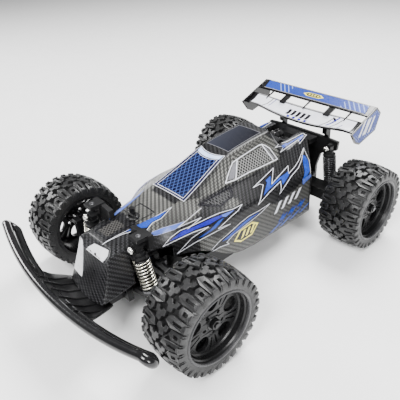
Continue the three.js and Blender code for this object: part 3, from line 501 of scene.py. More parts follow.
def clear_box(bm, low, high):
    """Takes the faces inside a box out of the sheet, with clean edges."""
    near = lambda f: all(low[k] - 14 < f.calc_center_median()[k] / MM < high[k] + 14 for k in range(3))
    for axis in range(3):
        for at in (low[axis], high[axis]):
            part = {f for f in bm.faces if near(f)}
            geom = [*{e for f in part for e in f.edges}, *part, *{v for f in part for v in f.verts}]
            normal = [0, 0, 0]
            normal[axis] = 1
            spot = [0, 0, 0]
            spot[axis] = at * MM
            bmesh.ops.bisect_plane(bm, geom=geom, plane_co=spot, plane_no=normal)
    gone = [f for f in bm.faces if all(low[k] < f.calc_center_median()[k] / MM < high[k] for k in range(3))]
    bmesh.ops.delete(bm, geom=gone, context="FACES")


def shell_surface():
    rails = len(ROWS[0])
    across = 2 * rails - 1
    bm = bmesh.new()
    grid = []
    for row in ROWS:
        full = [(-x, y, z) for x, y, z in row[:0:-1]] + row
        grid.append([bm.verts.new(Vector(p) * MM) for p in full])
    for r in range(len(ROWS) - 1):
        for c in range(across - 1):
            if r >= REAR_ROW and c in (rails - 2, rails - 1):
                continue
            bm.faces.new((grid[r][c], grid[r][c + 1], grid[r + 1][c + 1], grid[r + 1][c]))
    for c in range(rails - 2):
        left, right = across - 1 - c, c
        bm.faces.new((grid[0][right + 1], grid[0][right], grid[0][left], grid[0][left - 1]))
    bm.faces.new((grid[0][rails - 1], grid[0][rails - 2], grid[0][rails]))
    bmesh.ops.recalc_face_normals(bm, faces=bm.faces)
    crease = bm.edges.layers.float.new("crease_edge")
    place = {v: (r, c) for r, line in enumerate(grid) for c, v in enumerate(line)}
    for edge in bm.edges:
        (r0, c0), (r1, c1) = place[edge.verts[0]], place[edge.verts[1]]
        if edge.is_boundary:
            edge[crease] = 1.0
        elif min(r0, r1) == 0:
            edge[crease] = 1.0 if abs(c0 - rails + 1) else 0.0
        elif c0 == c1:
            edge[crease] = RAIL_CREASE[abs(c0 - rails + 1)]
        elif r0 == r1:
            edge[crease] = ROW_CREASE.get(r0, 0.0)
    mesh = bpy.data.meshes.new("shell_net")
    bm.to_mesh(mesh)
    bm.free()
    thing = bpy.data.objects.new("shell_net", mesh)
    bpy.context.scene.collection.objects.link(thing)
    smooth = thing.modifiers.new("smooth", "SUBSURF")
    smooth.levels = smooth.render_levels = 4
    done = bpy.data.meshes.new_from_object(thing.evaluated_get(bpy.context.evaluated_depsgraph_get()))
    bpy.data.objects.remove(thing)
    return done


def build_shell():
    mesh = shell_surface()
    bm = bmesh.new()
    bm.from_mesh(mesh)
    whole = BVHTree.FromBMesh(bm)
    for low, high in CUTS:
        for sign in (1, -1):
            xs = sorted((low[0] * sign, high[0] * sign))
            clear_box(bm, (xs[0], *low[1:]), (xs[1], *high[1:]))
    middles = [(f, f.calc_center_median()) for f in bm.faces]
    gone = [f for f, c in middles if math.hypot(c.x, c.y - CLIP_Y * MM) < POST_HOLE * MM]
    bmesh.ops.delete(bm, geom=gone, context="FACES")
    bm.to_mesh(mesh)
    bm.free()
    mesh.name = "shell_print"
    mesh.materials.clear()
    mesh.materials.append(SHELL)
    mesh.polygons.foreach_set("use_smooth", [True] * len(mesh.polygons))
    crease_by_angle(mesh, 48)
    area = mesh.attributes.new("silver", "FLOAT", "POINT")
    for i, v in enumerate(mesh.vertices):
        y, z = v.co.y / MM, v.co.z / MM
        spot = sum(inside(p, y + dy, z + dz) for p in SILVER_AREAS for dy, dz in SOFT_EDGE)
        on_top = abs(v.co.x) < 0.019 and -60 * MM < v.co.y < 72 * MM
        area.data[i].value = 0.12 if on_top else min(1.0, spot / 5)
    shell = bpy.data.objects.new("shell_print", mesh)
    bpy.context.scene.collection.objects.link(shell)
    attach(shell, "chassis")
    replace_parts(shell, "body_shell")
    wall = shell.modifiers.new("wall", "SOLIDIFY")
    wall.thickness = 1.3 * MM
    wall.offset = -1
    return whole


# ---------------------------------------------------------------- printed graphics
SLOPE = math.sqrt(0.5)


def fine(points, faces, limit=2.6):
    """Splits a flat patch until no edge is longer than the limit."""
    bm = bmesh.new()
    verts = [bm.verts.new(p) for p in points]
    for f in faces:
        bm.faces.new([verts[i] for i in f])
    bmesh.ops.triangulate(bm, faces=bm.faces)
    for _ in range(7):
        longest = [e for e in bm.edges if e.calc_length() > limit]
        if not longest:
            break
        bmesh.ops.subdivide_edges(bm, edges=longest, cuts=1)
        bmesh.ops.triangulate(bm, faces=bm.faces)
    return bm


def laid_on(surface, bm, view, sign, lift):
    """Lays a flat patch on the shell: from above (x, y), from the nose (x, z), or sloping down at
    45 degrees from the side, where the second coordinate runs up and inwards."""
    start, way = {
        "side": (
            lambda p: Vector(((0.3 - p.y * MM * SLOPE) * sign, p.x * MM, 0.3 + p.y * MM * SLOPE)),
            Vector((-sign * SLOPE, 0, -SLOPE)),
        ),
        "top": (lambda p: Vector((p.x * MM * sign, p.y * MM, 0.3)), Vector((0, 0, -1))),
        "front": (lambda p: Vector((p.x * MM * sign, -0.3, p.y * MM)), Vector((0, 1, 0))),
    }[view]
    lost = []
    for v in bm.verts:
        spot, normal, _, _ = surface.ray_cast(start(v.co), way)
        if spot is None:
            lost.append(v)
            continue
        if normal.dot(way) > 0:
            normal = -normal
        v.co = spot + normal * lift * MM
    bmesh.ops.delete(bm, geom=lost, context="VERTS")
    long = [e for e in bm.edges if e.calc_length() > 14 * MM]
    bmesh.ops.delete(bm, geom=long, context="EDGES")
    for f in bm.faces:
        if f.normal.length:
            f.normal_update()
            if f.normal.dot(way) > 0:
                f.normal_flip()
    return bm


def decal(surface, name, shapes, view, look, lift, sides=(1, -1)):
    """One printed piece of a single ink, from closed outlines and strokes (line, width)."""
    total = bmesh.new()
    for sign in sides:
        for shape in shapes:
            if isinstance(shape, tuple):
                parts = stroke(*shape)
            else:
                tris = tessellate_polygon([[Vector((*p, 0)) for p in shape]])
                parts = ([(*p, 0) for p in shape], tris)
            bm = laid_on(surface, fine(*parts), view, sign, lift)
            part = bpy.data.meshes.new("part")
            bm.to_mesh(part)
            bm.free()
            total.from_mesh(part)
            bpy.data.meshes.remove(part)
    mesh = bpy.data.meshes.new(name)
    total.to_mesh(mesh)
    total.free()
    mesh.materials.append(look)
    mesh.polygons.foreach_set("use_smooth", [True] * len(mesh.polygons))
    thing = bpy.data.objects.new(name, mesh)
    bpy.context.scene.collection.objects.link(thing)
    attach(thing, "chassis")


def stroke(line, width, closed=True):
    """A line of even width, as one quad per stretch."""
    points = []
    faces = []
    ends = zip(line, line[1:] + line[:1]) if closed else zip(line, line[1:])
    for a, b in ends:
        a, b = Vector(a), Vector(b)
        if (b - a).length < 0.01:
            continue
        along = (b - a).normalized() * width / 2
        side = Vector((-along.y, along.x))
        corners = [a - along - side, b + along - side, b + along + side, a - along + side]
        start = len(points)
        points += [(p.x, p.y, 0) for p in corners]
        faces.append((start, start + 1, start + 2, start + 3))
    return points, faces


BOLT = [
    (18.2, 33.7), (57.5, 42.1), (41.5, 27.8), (76.9, 36.8), (70.2, 28.7), (85, 32.4), (94.6, 36.1),
    (105.7, 42.3), (113.2, 46.4), (99.4, 35.3), (88.5, 29.4), (71.2, 25), (53.6, 18.7), (45.5, 14.9),
    (53.5, 25.7), (30.3, 21.1), (11.8, 16.3), (31.1, 31.2), (28, 33.7),
]
BOLT_FILL = [
    (46.6, 36), (37.4, 34), (37.6, 31.6), (22.4, 21.2), (33, 24), (57.2, 28), (53, 21.4), (62.7, 24.6),
    (70, 27.6), (72, 31.4), (66, 30.4), (57, 30), (38, 26.4), (45.7, 34.4),
]
REAR_BOLT = [
    (104.7, 39.9), (108, 37.6), (107.6, 31.2), (101.4, 20.4), (90.4, 15.5), (86.6, 16.6), (93.8, 23.1),
    (99.4, 32.3),
]
REAR_TAIL = [(85.2, 16.3), (100.8, 17), (102.1, 14.3), (86.7, 11)]
FRONT_BOLT = [
    (-90.9, 27.1), (-82, 30.8), (-72.3, 32), (-58.9, 29.9), (-43.1, 28.8), (-32, 27.7), (-18.3, 24.6),
    (-6.4, 24.2), (-14.8, 20.8), (-26.9, 19), (-41, 15.6), (-27, 13.6), (-50.3, 14.6), (-63.9, 15.4),
    (-80, 15), (-66, 20.6), (-50, 21.4), (-64, 24.4), (-78, 26),
]
FRONT_FILL = [
    (-84, 28.4), (-70.8, 30.5), (-59.5, 28.2), (-44.1, 26.9), (-32.7, 25.2), (-32.4, 23.2), (-47.3, 23),
    (-61.3, 25.7), (-72.3, 26.6),
]
FRONT_TIP = [(-32.4, 25.2), (-17.5, 23.2), (-30, 21.4), (-32.4, 23)]
FRONT_BLADE = [(-60.5, 17.6), (-50.1, 18.4), (-39.4, 21.4), (-32, 21.6), (-44, 17.4), (-56, 16.6)]
LOW_BOLT = [
    (-52, -0.4), (-47.2, 2.4), (-40.4, 4.8), (-29.1, 6.7), (-13.6, 9.9), (-1.6, 11.2), (13.2, 10.8),
    (30, 11.4), (17, 8.1), (0.9, 6), (-23, 3.2), (-32, 0.2), (-29, -2.4), (-39.7, -0.4),
]
LOW_FILL = [(-38, 3.4), (-28, 5.2), (-13, 8.4), (0, 9.8), (14, 9.4), (0, 7.6), (-20, 4.6), (-30, 2.4)]
SIDE_STRIPE = [(-98.4, 41.6), (-94.4, 43.2), (-83.8, 41.8), (-64, 37), (-75.2, 35.4), (-91.7, 38.6)]
FIN_BOLT = [
    (73, 60.8), (91, 64.5), (100, 62.3), (129, 62.5), (127.6, 59.4), (129.4, 58.6), (111.2, 52.8),
    (113.4, 57.6), (78.4, 54), (90.6, 59),
]
FIN_FILL = [
    (88, 59.8), (98.7, 61.2), (99, 59.6), (126, 61), (124, 58.4), (113.2, 55.4), (116, 59.2), (85.6, 56.6),
]
ZIGZAG = [(-44, 40.6), (-72, 35.2), (-50, 32.6), (-66, 29.6)]
WINDOW = [
    (17.7, 66.8), (52.1, 70.2), (56.4, 69.8), (60.4, 67.3), (65, 62.7), (70.4, 48.9), (43.1, 49.3),
    (26, 50), (5.5, 49.4), (-6.6, 50.9), (4.4, 60.4), (12, 66),
]
WINDOW_MESH = [(19.4, 64.9), (54.6, 67.8), (62.2, 51.4), (8.3, 51)]
WINDOW_FRONT = [(-2, 52.4), (6, 60), (12.6, 64.4), (17, 65.2), (5.6, 51.2)]
WINDOW_REAR = [(58.4, 66.6), (60.6, 64.6), (67, 51), (64.8, 51)]
WINDOW_BARS = [([(18, 65.6), (6.8, 50)], 1.2, False), ([(56.6, 68.4), (63.8, 50.4)], 1.2, False)]
VENT = [(-46, 45.2), (-6, 45.8), (-2.6, 44.2), (-7.3, 35.8), (-27.1, 32.3), (-36, 37.6)]
VENT_INNER = [(-39, 43.8), (-8, 44.2), (-9.6, 37.2), (-26, 34.4), (-33, 39)]
DASHES = [
    [(38 + 11.5 * i, -0.8 + 0.9 * i), (45.5 + 11.5 * i, 8 + 0.5 * i),
     (50 + 11.5 * i, 8.2 + 0.5 * i), (42.5 + 11.5 * i, -0.6 + 0.9 * i)]
    for i in range(4)
]
CHEVRONS = [
    [(45 + 16 * i, -11 + 1.6 * i), (56 + 16 * i, -3.6 + 1.1 * i), (53 + 16 * i, -7.6 + 1.2 * i),
     (62 + 16 * i, -5.6 + 1.2 * i), (51 + 16 * i, -13.4 + 1.2 * i), (53.4 + 16 * i, -9.4 + 1.2 * i)]
    for i in range(3)
]
LOW_STREAKS = [
    [(31 + 17 * i, -16.2 + 0.6 * i), (48 + 17 * i, -12 + 0.6 * i),
     (53 + 17 * i, -12 + 0.6 * i), (37 + 17 * i, -16.2 + 0.6 * i)]
    for i in range(4)
]
BADGE = [(-22.5, -3.2), (-14.5, 3.6), (3.6, 4.6), (13, 0.6), (4, -6.6), (-13, -7)]
BADGE_BARS = [
    [(-13 + 6.6 * i, -4.2), (-8.6 + 6.6 * i, 1.8), (-5.4 + 6.6 * i, 2), (-9.8 + 6.6 * i, -4)] for i in range(3)
]
BADGE_FIELD = [(u * 0.84 - 0.7, -1.2 + (v + 1.2) * 0.78) for u, v in BADGE]
TAIL_LINE = [(99, 15.6), (104, 22.4), (109.6, 31), (113, 45.8)]
HOOD = [
    (6.6, -134.5), (9.9, -118.3), (15.5, -92), (20, -65), (23.4, -80), (21.6, -89), (24, -98.4),
    (17, -106), (12, -116),
]
HOOD_FILL = [
    (11.4, -113), (13, -99.7), (16.2, -86), (20.2, -71), (22, -81), (20.6, -89.4), (22.2, -96.4),
    (16, -104),
]
FAR_STRIPE = [(-17, -112), (-19.5, -92), (-23, -72), (-30, -60), (-26, -80), (-24, -96)]
# Painted highlight along the nose's top chamfer, seen from above.
NOSE_CHAMFER_HIGHLIGHT = [(-10.6, -143.4), (-3.5, -137.4), (17, -135), (20, -138.4), (18, -143.2)]
# Painted highlight on the far front facet of the nose, where it catches the light; its mirrored facet stays
# plain carbon.
NOSE_FACET_HIGHLIGHT = [(-24.2, 82), (-16, 76.6), (-13, 66), (-10.6, 56), (-9.4, 50), (-27, 50), (-26, 61)]
SCREEN = [(24, -53), (-24, -53), (-17.6, 8.6), (-8.2, 5.2), (0, 4.4), (8.2, 5.2), (17.6, 8.6)]
SCREEN_IN = [(20.4, -50.6), (-20.4, -50.6), (-15, 0.6), (-6, -2.2), (0, -2.6), (6, -2.2), (15, 0.6)]
SUN = [
    (-16.6, 7.4), (-8.2, 4), (0, 3.2), (8.2, 4), (16.6, 7.4), (16, 2), (7, -0.8), (0, -1.4), (-7, -0.8),
    (-16, 2),
]
ROOF_LINE = [(-16.2, 15.6), (16.2, 15.6), (15.4, 64), (-15.4, 64)]
HATCH = [(-15, -129.4), (5, -129.4), (11.4, -79.4), (-11, -79.4)]
HATCH_FRONT = [(-12.6, -127), (2.6, -127), (4.4, -108), (-10.8, -108)]


def build_graphics(surface):
    lay = lambda *args, **kw: decal(surface, *args, **kw)
    lay("bolt_black", [BOLT, REAR_BOLT, FRONT_BOLT, LOW_BOLT, FIN_BOLT], "side", BLACK_INK, 0.12)
    lay("bolt_white", [
        (BOLT, 0.55), (LOW_BOLT, 0.42), (FRONT_BOLT, 0.45), (SIDE_STRIPE, 0.35), (ZIGZAG, 0.42, False),
        (TAIL_LINE, 0.45, False), (FIN_BOLT, 0.45),
    ], "side", WHITE, 0.24)
    lay("bolt_blue", [BOLT_FILL, REAR_BOLT, LOW_FILL, FRONT_BLADE, FIN_FILL], "side", BLUE, 0.34)
    lay("bolt_deep_blue", [FRONT_FILL], "side", DEEP_BLUE, 0.34)
    lay("bolt_periwinkle", [REAR_TAIL, FRONT_TIP, SIDE_STRIPE], "side", PERIWINKLE, 0.3)
    lay("window_frame", [(WINDOW, 0.9), *WINDOW_BARS], "side", WHITE, 0.24)
    lay("window_mesh", [WINDOW_MESH], "side", SIDE_MESH, 0.14)
    lay("window_panes", [WINDOW_FRONT, WINDOW_REAR], "side", GREY_LINE, 0.18)
    lay("vent_back", [VENT], "side", BLACK_INK, 0.12)
    lay("vent_mesh", [VENT_INNER], "side", VENT_MESH, 0.2)
    lay("screen_navy", [SCREEN], "top", NAVY, 0.12, sides=(1,))
    lay("screen_lattice", [SCREEN_IN], "top", WINDSCREEN, 0.2, sides=(1,))
    lay("screen_lines", [(SCREEN, 0.5), (SCREEN_IN, 0.4)], "top", WHITE, 0.28, sides=(1,))
    lay("sun_strip", [SUN], "top", SUN_STRIP, 0.3, sides=(1,))
    lay("roof_panel", [ROOF_LINE], "top", ROOF, 0.14, sides=(1,))
    lay("roof_line", [(ROOF_LINE, 0.5)], "top", GREY_LINE, 0.22, sides=(1,))
    lay("hood_white", [(HOOD, 0.42)], "top", WHITE, 0.26, sides=(1,))
    lay("hood_black", [HOOD], "top", BLACK_INK, 0.12, sides=(1,))
    lay("hood_blue", [HOOD_FILL], "top", BLUE, 0.34, sides=(1,))
    lay("hood_far_stripe", [FAR_STRIPE], "top", PERIWINKLE, 0.2, sides=(1,))
    lay("hatch_line", [(HATCH, 0.8)], "top", BLACK_INK, 0.3, sides=(1,))
    lay("hatch_mesh", [HATCH_FRONT], "top", HATCH_MESH, 0.2, sides=(1,))
    # The nose's pale patches are painted highlight.
    lay("nose_pale_top", [NOSE_CHAMFER_HIGHLIGHT], "top", NOSE_HIGHLIGHT, 0.16, sides=(1,))
    # Far facet only: painted highlight.
    lay("nose_pale_side", [NOSE_FACET_HIGHLIGHT], "front", NOSE_HIGHLIGHT, 0.16, sides=(1,))
    lay("flank_dashes", DASHES, "side", WHITE, 0.3)
    lay("flank_chevrons", CHEVRONS, "side", BLUE, 0.36)
    lay("flank_streaks", LOW_STREAKS, "side", PERIWINKLE, 0.24)
    lay("badge_edge", [BADGE], "side", YELLOW, 0.22)
    lay("badge_field", [BADGE_FIELD], "side", BLACK_INK, 0.3)
    lay("badge_bars", BADGE_BARS, "side", YELLOW, 0.38)


# ---------------------------------------------------------------- wheels
def top_radius(x):
    """The tread's crown across the tyre."""
    return 47.9 - 0.0042 * x * x - 1.5 * max(0.0, (abs(x) - 18) / 6) ** 2


BLOCK_DEPTH = 4.4


def tread_block(outline, holes, phase, mirror):
    """A block of rubber on the tread, from an outline in (across, along) millimetres."""
    points, faces = slab(outline, holes, 0, 1)
    if mirror:
        faces = flipped(faces)
    points = [(x, s * BLOCK_GROWTH, up) for x, s, up in points]

    def wrap(p):
        x, s, up = p
        r = top_radius(x) - (0 if up else BLOCK_DEPTH)
        shrink = 0.94 if up else 1.0
        cx, cs = sum(q[0] for q in outline) / len(outline), sum(q[1] for q in outline) / len(outline)
        x, s = cx + (x - cx) * shrink, cs + (s - cs) * shrink
        a = phase + s / 46
        return (-x if mirror else x, r * math.cos(a), r * math.sin(a))

    return [wrap(p) for p in points], faces


PITCHES = 15
BLOCK_GROWTH = 1.07
LONG_BLOCK = [(24, -4), (24, 3.8), (11, 4.8), (3.6, 1.4), (6.6, -3.6), (10, -4.6)]
LONG_SLOT = [(20.5, -1), (11, -1.2), (11, 1.2), (20.5, 1)]
SHORT_BLOCK = [(24, -4.2), (24, 3.8), (14.4, 3.6), (11.4, -0.4), (13, -4.2)]
SHORT_HOLE = [(20.4, -1.7), (16, -1.9), (16, 1.5), (20.4, 1.3)]
MIDDLE_BLOCK = [
    (10.4, -4.2), (9, 0.4), (6.4, 0.6), (6.6, 4.6), (1.4, 5.4), (0.4, 1.4), (-2.6, 0.4), (-2.2, -3.6),
    (1.4, -4.4), (3.4, -1.6), (5.8, -2), (6.4, -4.6),
]


def tyre_parts():
    sides = [(23.2, 35.4), (24, 39.2), (23.2, 41.8), (20.5, 43.2)]
    crown = [(20.5, 43.2), (10, 44), (0, 44.2), (-10, 44), (-20.5, 43.2)]
    bead = [(18, 32.4), (21.8, 33), (23.2, 35.4)]
    wall = bead[:-1] + sides
    carcass = [lathe(wall, 72), mirror_x(*lathe(wall, 72)), lathe([(-18, 32.4), (18, 32.4)], 72)]
    groove = lathe(crown, 72)
    parts = []
    step = 2 * math.pi / PITCHES
    for i in range(PITCHES):
        for mirror, shift in ((False, 0.0), (True, 0.5)):
            a = (i + shift) * step
            parts.append(tread_block(LONG_BLOCK, [LONG_SLOT], a, mirror))
            parts.append(tread_block(SHORT_BLOCK, [SHORT_HOLE], a + step / 2, mirror))
            parts.append(tread_block(MIDDLE_BLOCK, [], a + step / 2, mirror))
            for k, half in ((0.0, 3.0), (0.5, 2.4)):
                parts.append(side_lug(a + k * step, half, mirror))
    return merged(*carcass, *parts), groove


def side_lug(angle, half, mirror):
    """The foot of a shoulder block, down the tyre's side."""
    points = []
    for r, x_out in ((38.6, 24.05), (42.4, 24.4), (45.6, 23.8)):
        for side in (-1, 1):
            for x in (22, x_out):
                a = angle + side * (half if r > 40 else half * 0.7) / 46
                points.append((x, r * math.cos(a), r * math.sin(a)))
    faces = []
    for k in (0, 4):
        corners = ((0, 1, 5, 4), (3, 2, 6, 7), (1, 3, 7, 5), (2, 0, 4, 6))
        faces += [tuple(k + c for c in quad) for quad in corners]
    faces += [(0, 2, 3, 1), (8, 9, 11, 10)]
    return mirror_x(points, faces) if mirror else (points, faces)


def circle(radius, count, at=(0, 0)):
    angles = [2 * math.pi * i / count for i in range(count)]
    return [(at[0] + radius * math.cos(a), at[1] + radius * math.sin(a)) for a in angles]


def polar(radius, angle, tangent=0.0):
    c, s = math.cos(angle), math.sin(angle)
    return (radius * c - tangent * s, radius * s + tangent * c)


SPOKE_SLOT = ((15.6, 1.1), (27.6, 2.5), (27.9, 4.6), (16.4, 2.5))
LIP_SECTION = [
    (20.2, 32.9), (23.2, 33.2), (23.9, 34.0), (23.7, 35.2), (22.8, 35.9), (22.2, 35.4), (21.8, 33.8),
]


def spoke_disc(turn):
    """The face of the wheel: five round windows, a pair of slots in each spoke, and bolt holes."""
    holes = []
    for i in range(5):
        window = math.pi / 2 + 2 * math.pi * i / 5 + turn
        spoke = window + math.pi / 5
        outline = []
        for k in range(24):
            t = 2 * math.pi * k / 24
            reach = 20.4 + 8.0 * math.cos(t) * (1.0 if math.cos(t) > 0 else 0.86)
            outline.append(polar(reach, window, 7.3 * math.sin(t) * (1 + 0.22 * math.cos(t))))
        holes.append(outline)
        for side in (-1, 1):
            holes.append([polar(r, spoke, side * off) for r, off in SPOKE_SLOT])
        holes.append(circle(1.75, 12, polar(10.4, spoke)))
    points, faces = slab(circle(30.4, 72), holes + [circle(3.2, 16)], 0, 1)

    def dish(p):
        y, z, up = p
        r = math.hypot(y, z)
        out = 9.6 + 3.2 * up + 1.5 * max(0.0, 1 - (r / 15) ** 2)
        return (out, y, z)

    return [dish(p) for p in points], faces


def rim_parts():
    barrel = [
        (-23.6, 34.6), (-23.6, 32.6), (-18, 30.6), (8, 29.6), (13, 30.0), (14.2, 31.3), (19, 31.6),
        (20.4, 33.0), (23.4, 33.4), (23.7, 34.8), (22.6, 35.6), (17, 33.6), (-17, 33.6), (-22, 35.0),
    ]
    hub = [(-7.8, 0.01), (-7.8, 7), (9.8, 7), (9.8, 0.01)]
    boss = [(13.5, 3.2), (14.2, 3.4), (14.4, 6.6), (13.6, 7.4), (12.8, 7.6)]
    return lathe(barrel, 72, closed=True), lathe(hub, 32), lathe(boss, 32)


def build_wheels():
    tyre, groove = tyre_parts()
    barrel, hub, boss = rim_parts()
    lip = lathe(LIP_SECTION, 80, closed=True)
    for end, y in (("front", FRONT_Y), ("rear", REAR_Y)):
        for side, sign in SIDES:
            body = f"{end}_wheel_{side}"

            def placed(part):
                points, faces = part if sign > 0 else mirror_x(*part)
                return [(x + HALF_TRACK * sign, py + y, pz + AXLE_Z) for x, py, pz in points], faces

            tread = piece(f"{end}_tyre_tread_{side}", *placed(tyre), TYRE, body, "tyre_rubber", sharp=32)
            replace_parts(bevelled(tread, 0.35, 1, 40), f"{end}_tyre_{side}")
            # Groove floor in the darker rubber: painted shade between the blocks.
            piece(f"{end}_tyre_groove_{side}", *placed(groove), GROOVE_SHADE, body, "tyre_rubber", sharp=60)
            disc = spoke_disc(math.pi / 5 if body == "front_wheel_right" else 0.0)
            face = placed(merged(disc, boss))
            face = piece(f"{end}_rim_face_{side}", *face, RIM, body, "rim_plastic", sharp=32)
            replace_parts(bevelled(face, 0.5, 2, 40), f"{end}_rim_{side}")
            inner = placed(merged(barrel, hub))
            piece(f"{end}_rim_barrel_{side}", *inner, RIM, body, "rim_plastic", sharp=32)
            piece(f"{end}_rim_lip_{side}", *placed(lip), LIP, body, "rim_plastic", sharp=40)


# ---------------------------------------------------------------- shocks
WIRE_RADIUS = 0.78
COIL_RADIUS = 7.2
SCREW_HEAD = [(-2.6, 0.01), (-2.5, 1.2), (-1.9, 2.5), (-0.8, 3.4), (0, 3.6), (0.6, 3.5), (0.6, 0.01)]
ROUND = 28  # steps round a shock's rings and sleeve


def build_shocks():
    for end, spec, look in (("front", FRONT_SHOCK, SPRING), ("rear", REAR_SHOCK, DARK_SPRING)):
        y, top, low = spec
        for side, sign in SIDES:
            bottom = Vector((low[0] * sign, y, low[1]))
            upper = Vector((top[0] * sign, y, top[1]))
            axis = (upper - bottom).normalized()
            length = (upper - bottom).length
            across = Vector((0, 1, 0))
            third = axis.cross(across)
            at = lambda r, a, h: tuple(bottom + axis * h + (across * math.cos(a) + third * math.sin(a)) * r)
            around = lambda r, h: [at(r, 2 * math.pi * i / ROUND, h) for i in range(ROUND)]
            turns = 9.5 if end == "front" else 11
            low_seat, high_seat = 9.4, length - 11.2
            line = []
            steps = int(turns * 20)
            for i in range(steps + 1):
                t = i / steps
                line.append(at(COIL_RADIUS, 2 * math.pi * turns * t, low_seat + (high_seat - low_seat) * t))
            wire = tube(line, WIRE_RADIUS, 8, up=tuple(axis))
            coil = piece(f"{end}_spring_coil_{side}", *wire, look, None, "spring_steel", sharp=80)
            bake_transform(coil)
            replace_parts(coil, f"{end}_spring_{side}")
            rings = []
            for k in range(6):
                h = length - 29 + 2.6 * k
                rings.append(tube(around(4.7, h), 0.45, 6, True, tuple(axis)))
            upper_body = f"{end}_shock_body_{side}"
            thread = f"{end}_shock_thread_{side}"
            piece(thread, *merged(*rings), PLASTIC, upper_body, "black_plastic", sharp=80)
            cover = []
            for h, r in ((low_seat, 5.7), (low_seat + 4, 6.0), (high_seat - 2, 6.0), (high_seat, 5.7)):
                cover.append(around(r, h))
            ring_points = [p for ring in cover for p in ring]
            ring_faces = []
            for k in range(0, 3 * ROUND, ROUND):
                for i in range(ROUND):
                    j = (i + 1) % ROUND
                    ring_faces.append((k + i, k + j, k + ROUND + j, k + ROUND + i))
            sleeve = f"{end}_shock_sleeve_{side}"
            sleeve = piece(sleeve, ring_points, ring_faces, PLASTIC, None, "black_plastic", sharp=50)
            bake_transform(sleeve)
            thick = sleeve.modifiers.new("wall", "SOLIDIFY")
            thick.thickness = 0.5 * MM
            thick.offset = 0
            head = lathe(SCREW_HEAD, 24)
            points = [(p[1] + upper.x, p[0] + y - 6.6, p[2] + upper.z) for p in head[0]]
            name = f"{end}_shock_screw_head_{side}"
            piece(name, points, flipped(head[1]), CHROME, "chassis", "spring_steel", sharp=60)


# ---------------------------------------------------------------- bumper
def rail_point(share, step):
    slope = 2 * 17.6 * share / 126.8
    back = 8.3 * step / math.hypot(1, slope)
    return Vector((126.8 * share - slope * back, -191 + 17.6 * share ** 2 + back,
                   59.5 + 5 * share ** 2 + 4.2 * share ** 4 - 10.5 * step))


RAIL_RADIUS = 4.15


def build_bumper():
    reach = 0.94
    span = [reach * (i - 40) / 40 for i in range(81)]

    def bend(side):
        ends = []
        for k in range(1, 12):
            t = math.radians(-90 + 15 * k)
            point = rail_point(reach * side, 0.5 + 0.5 * math.sin(t))
            ends.append(point + Vector((side * 7.4 * math.cos(t), 0, 0)))
        return ends

    line = [rail_point(s, 0) for s in span] + bend(1)
    line += [rail_point(s, 1) for s in reversed(span)] + bend(-1)[::-1]
    loop = tube([tuple(p) for p in line], RAIL_RADIUS, 16, True)
    loop = piece("bumper_loop", *loop, GLOSS, "chassis", "black_plastic", sharp=80)
    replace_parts(loop, "front_bumper")
    rise = [(-147, 31), (-152, 32.5), (-173, 42), (-181, 49.5), (-189, 57.4)]
    half = lambda y: 28 + (50 - 28) * min(1, max(0, (-146.5 - y) / 43)) ** 0.9

    def height(y):
        for (a, za), (b, zb) in zip(rise, rise[1:]):
            if y >= b:
                return za + (zb - za) * (a - y) / (a - b)
        return rise[-1][1]

    rows = 22
    columns = 16
    points = []
    for i in range(rows + 1):
        y = -147 - 42 * i / rows
        for j in range(columns + 1):
            s = -1 + 2 * j / columns
            edge = 2.6 * max(0.0, abs(s) - 0.86) / 0.14
            points.append((s * half(y), y, height(y) + edge))
    wide = columns + 1
    starts = [i * wide + j for i in range(rows) for j in range(columns)]
    faces = [(k + 1, k + wide + 1, k + wide, k) for k in starts]
    plate = piece("bumper_bracket", points, faces, PLASTIC, "chassis", "black_plastic", sharp=40)
    thick = plate.modifiers.new("wall", "SOLIDIFY")
    thick.thickness = 2.4 * MM
    thick.offset = -1
    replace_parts(bevelled(plate, 0.4), "front_bumper")
    webs = []
    for x in (-31, -20, -7, 7, 20, 31):
        outline = [(-186, 53.6), (-174, 42.2), (-153, 32.2), (-153, 36), (-170, 44.6), (-184, 57.6)]
        if abs(x) > 25:
            outline = outline[:2] + [(-160, 35.6), (-160, 39.4)] + outline[4:]
        part = slab(outline, [], x - 0.9, x + 0.9)
        webs.append(([(p[2], p[0], p[1]) for p in part[0]], part[1]))
    webs.append(([(x, y, z) for x in (-17, 17) for y in (-149, -146.6) for z in (26, 44)],
                 [(0, 1, 3, 2), (4, 6, 7, 5), (0, 4, 5, 1), (2, 3, 7, 6), (0, 2, 6, 4), (1, 5, 7, 3)]))
    bevelled(piece("bumper_webs", *merged(*webs), PLASTIC, "chassis", "black_plastic", sharp=30), 0.3)


# ---------------------------------------------------------------- wing
def plane_dip(x):
    return 6.3 * max(0.0, 1 - (abs(x) / 62) ** 2)


def sheet_between(rows, lift):
    """A strip of quads from rows of points, lifted along +Z."""
    count = len(rows[0])
    points = [(x, y, z + lift) for row in rows for x, y, z in row]
    faces = [(i * count + k, (i + 1) * count + k, (i + 1) * count + k + 1, i * count + k + 1)
             for i in range(len(rows) - 1) for k in range(count - 1)]
    return points, faces


def wing_row(x, shares):
    """Points across the main plane's top at x, at shares of its depth."""
    d = plane_dip(x)
    line = [(145.2, 123.2 - d), (153, 125.2 - 0.7 * d), (162.6, 130.5 - 0.2 * d)]
    out = []
    for s in shares:
        t = s * 2
        (a, za), (b, zb) = (line[0], line[1]) if t < 1 else (line[1], line[2])
        t = t if t < 1 else t - 1
        out.append((x, a + (b - a) * t, za + (zb - za) * t))
    return out


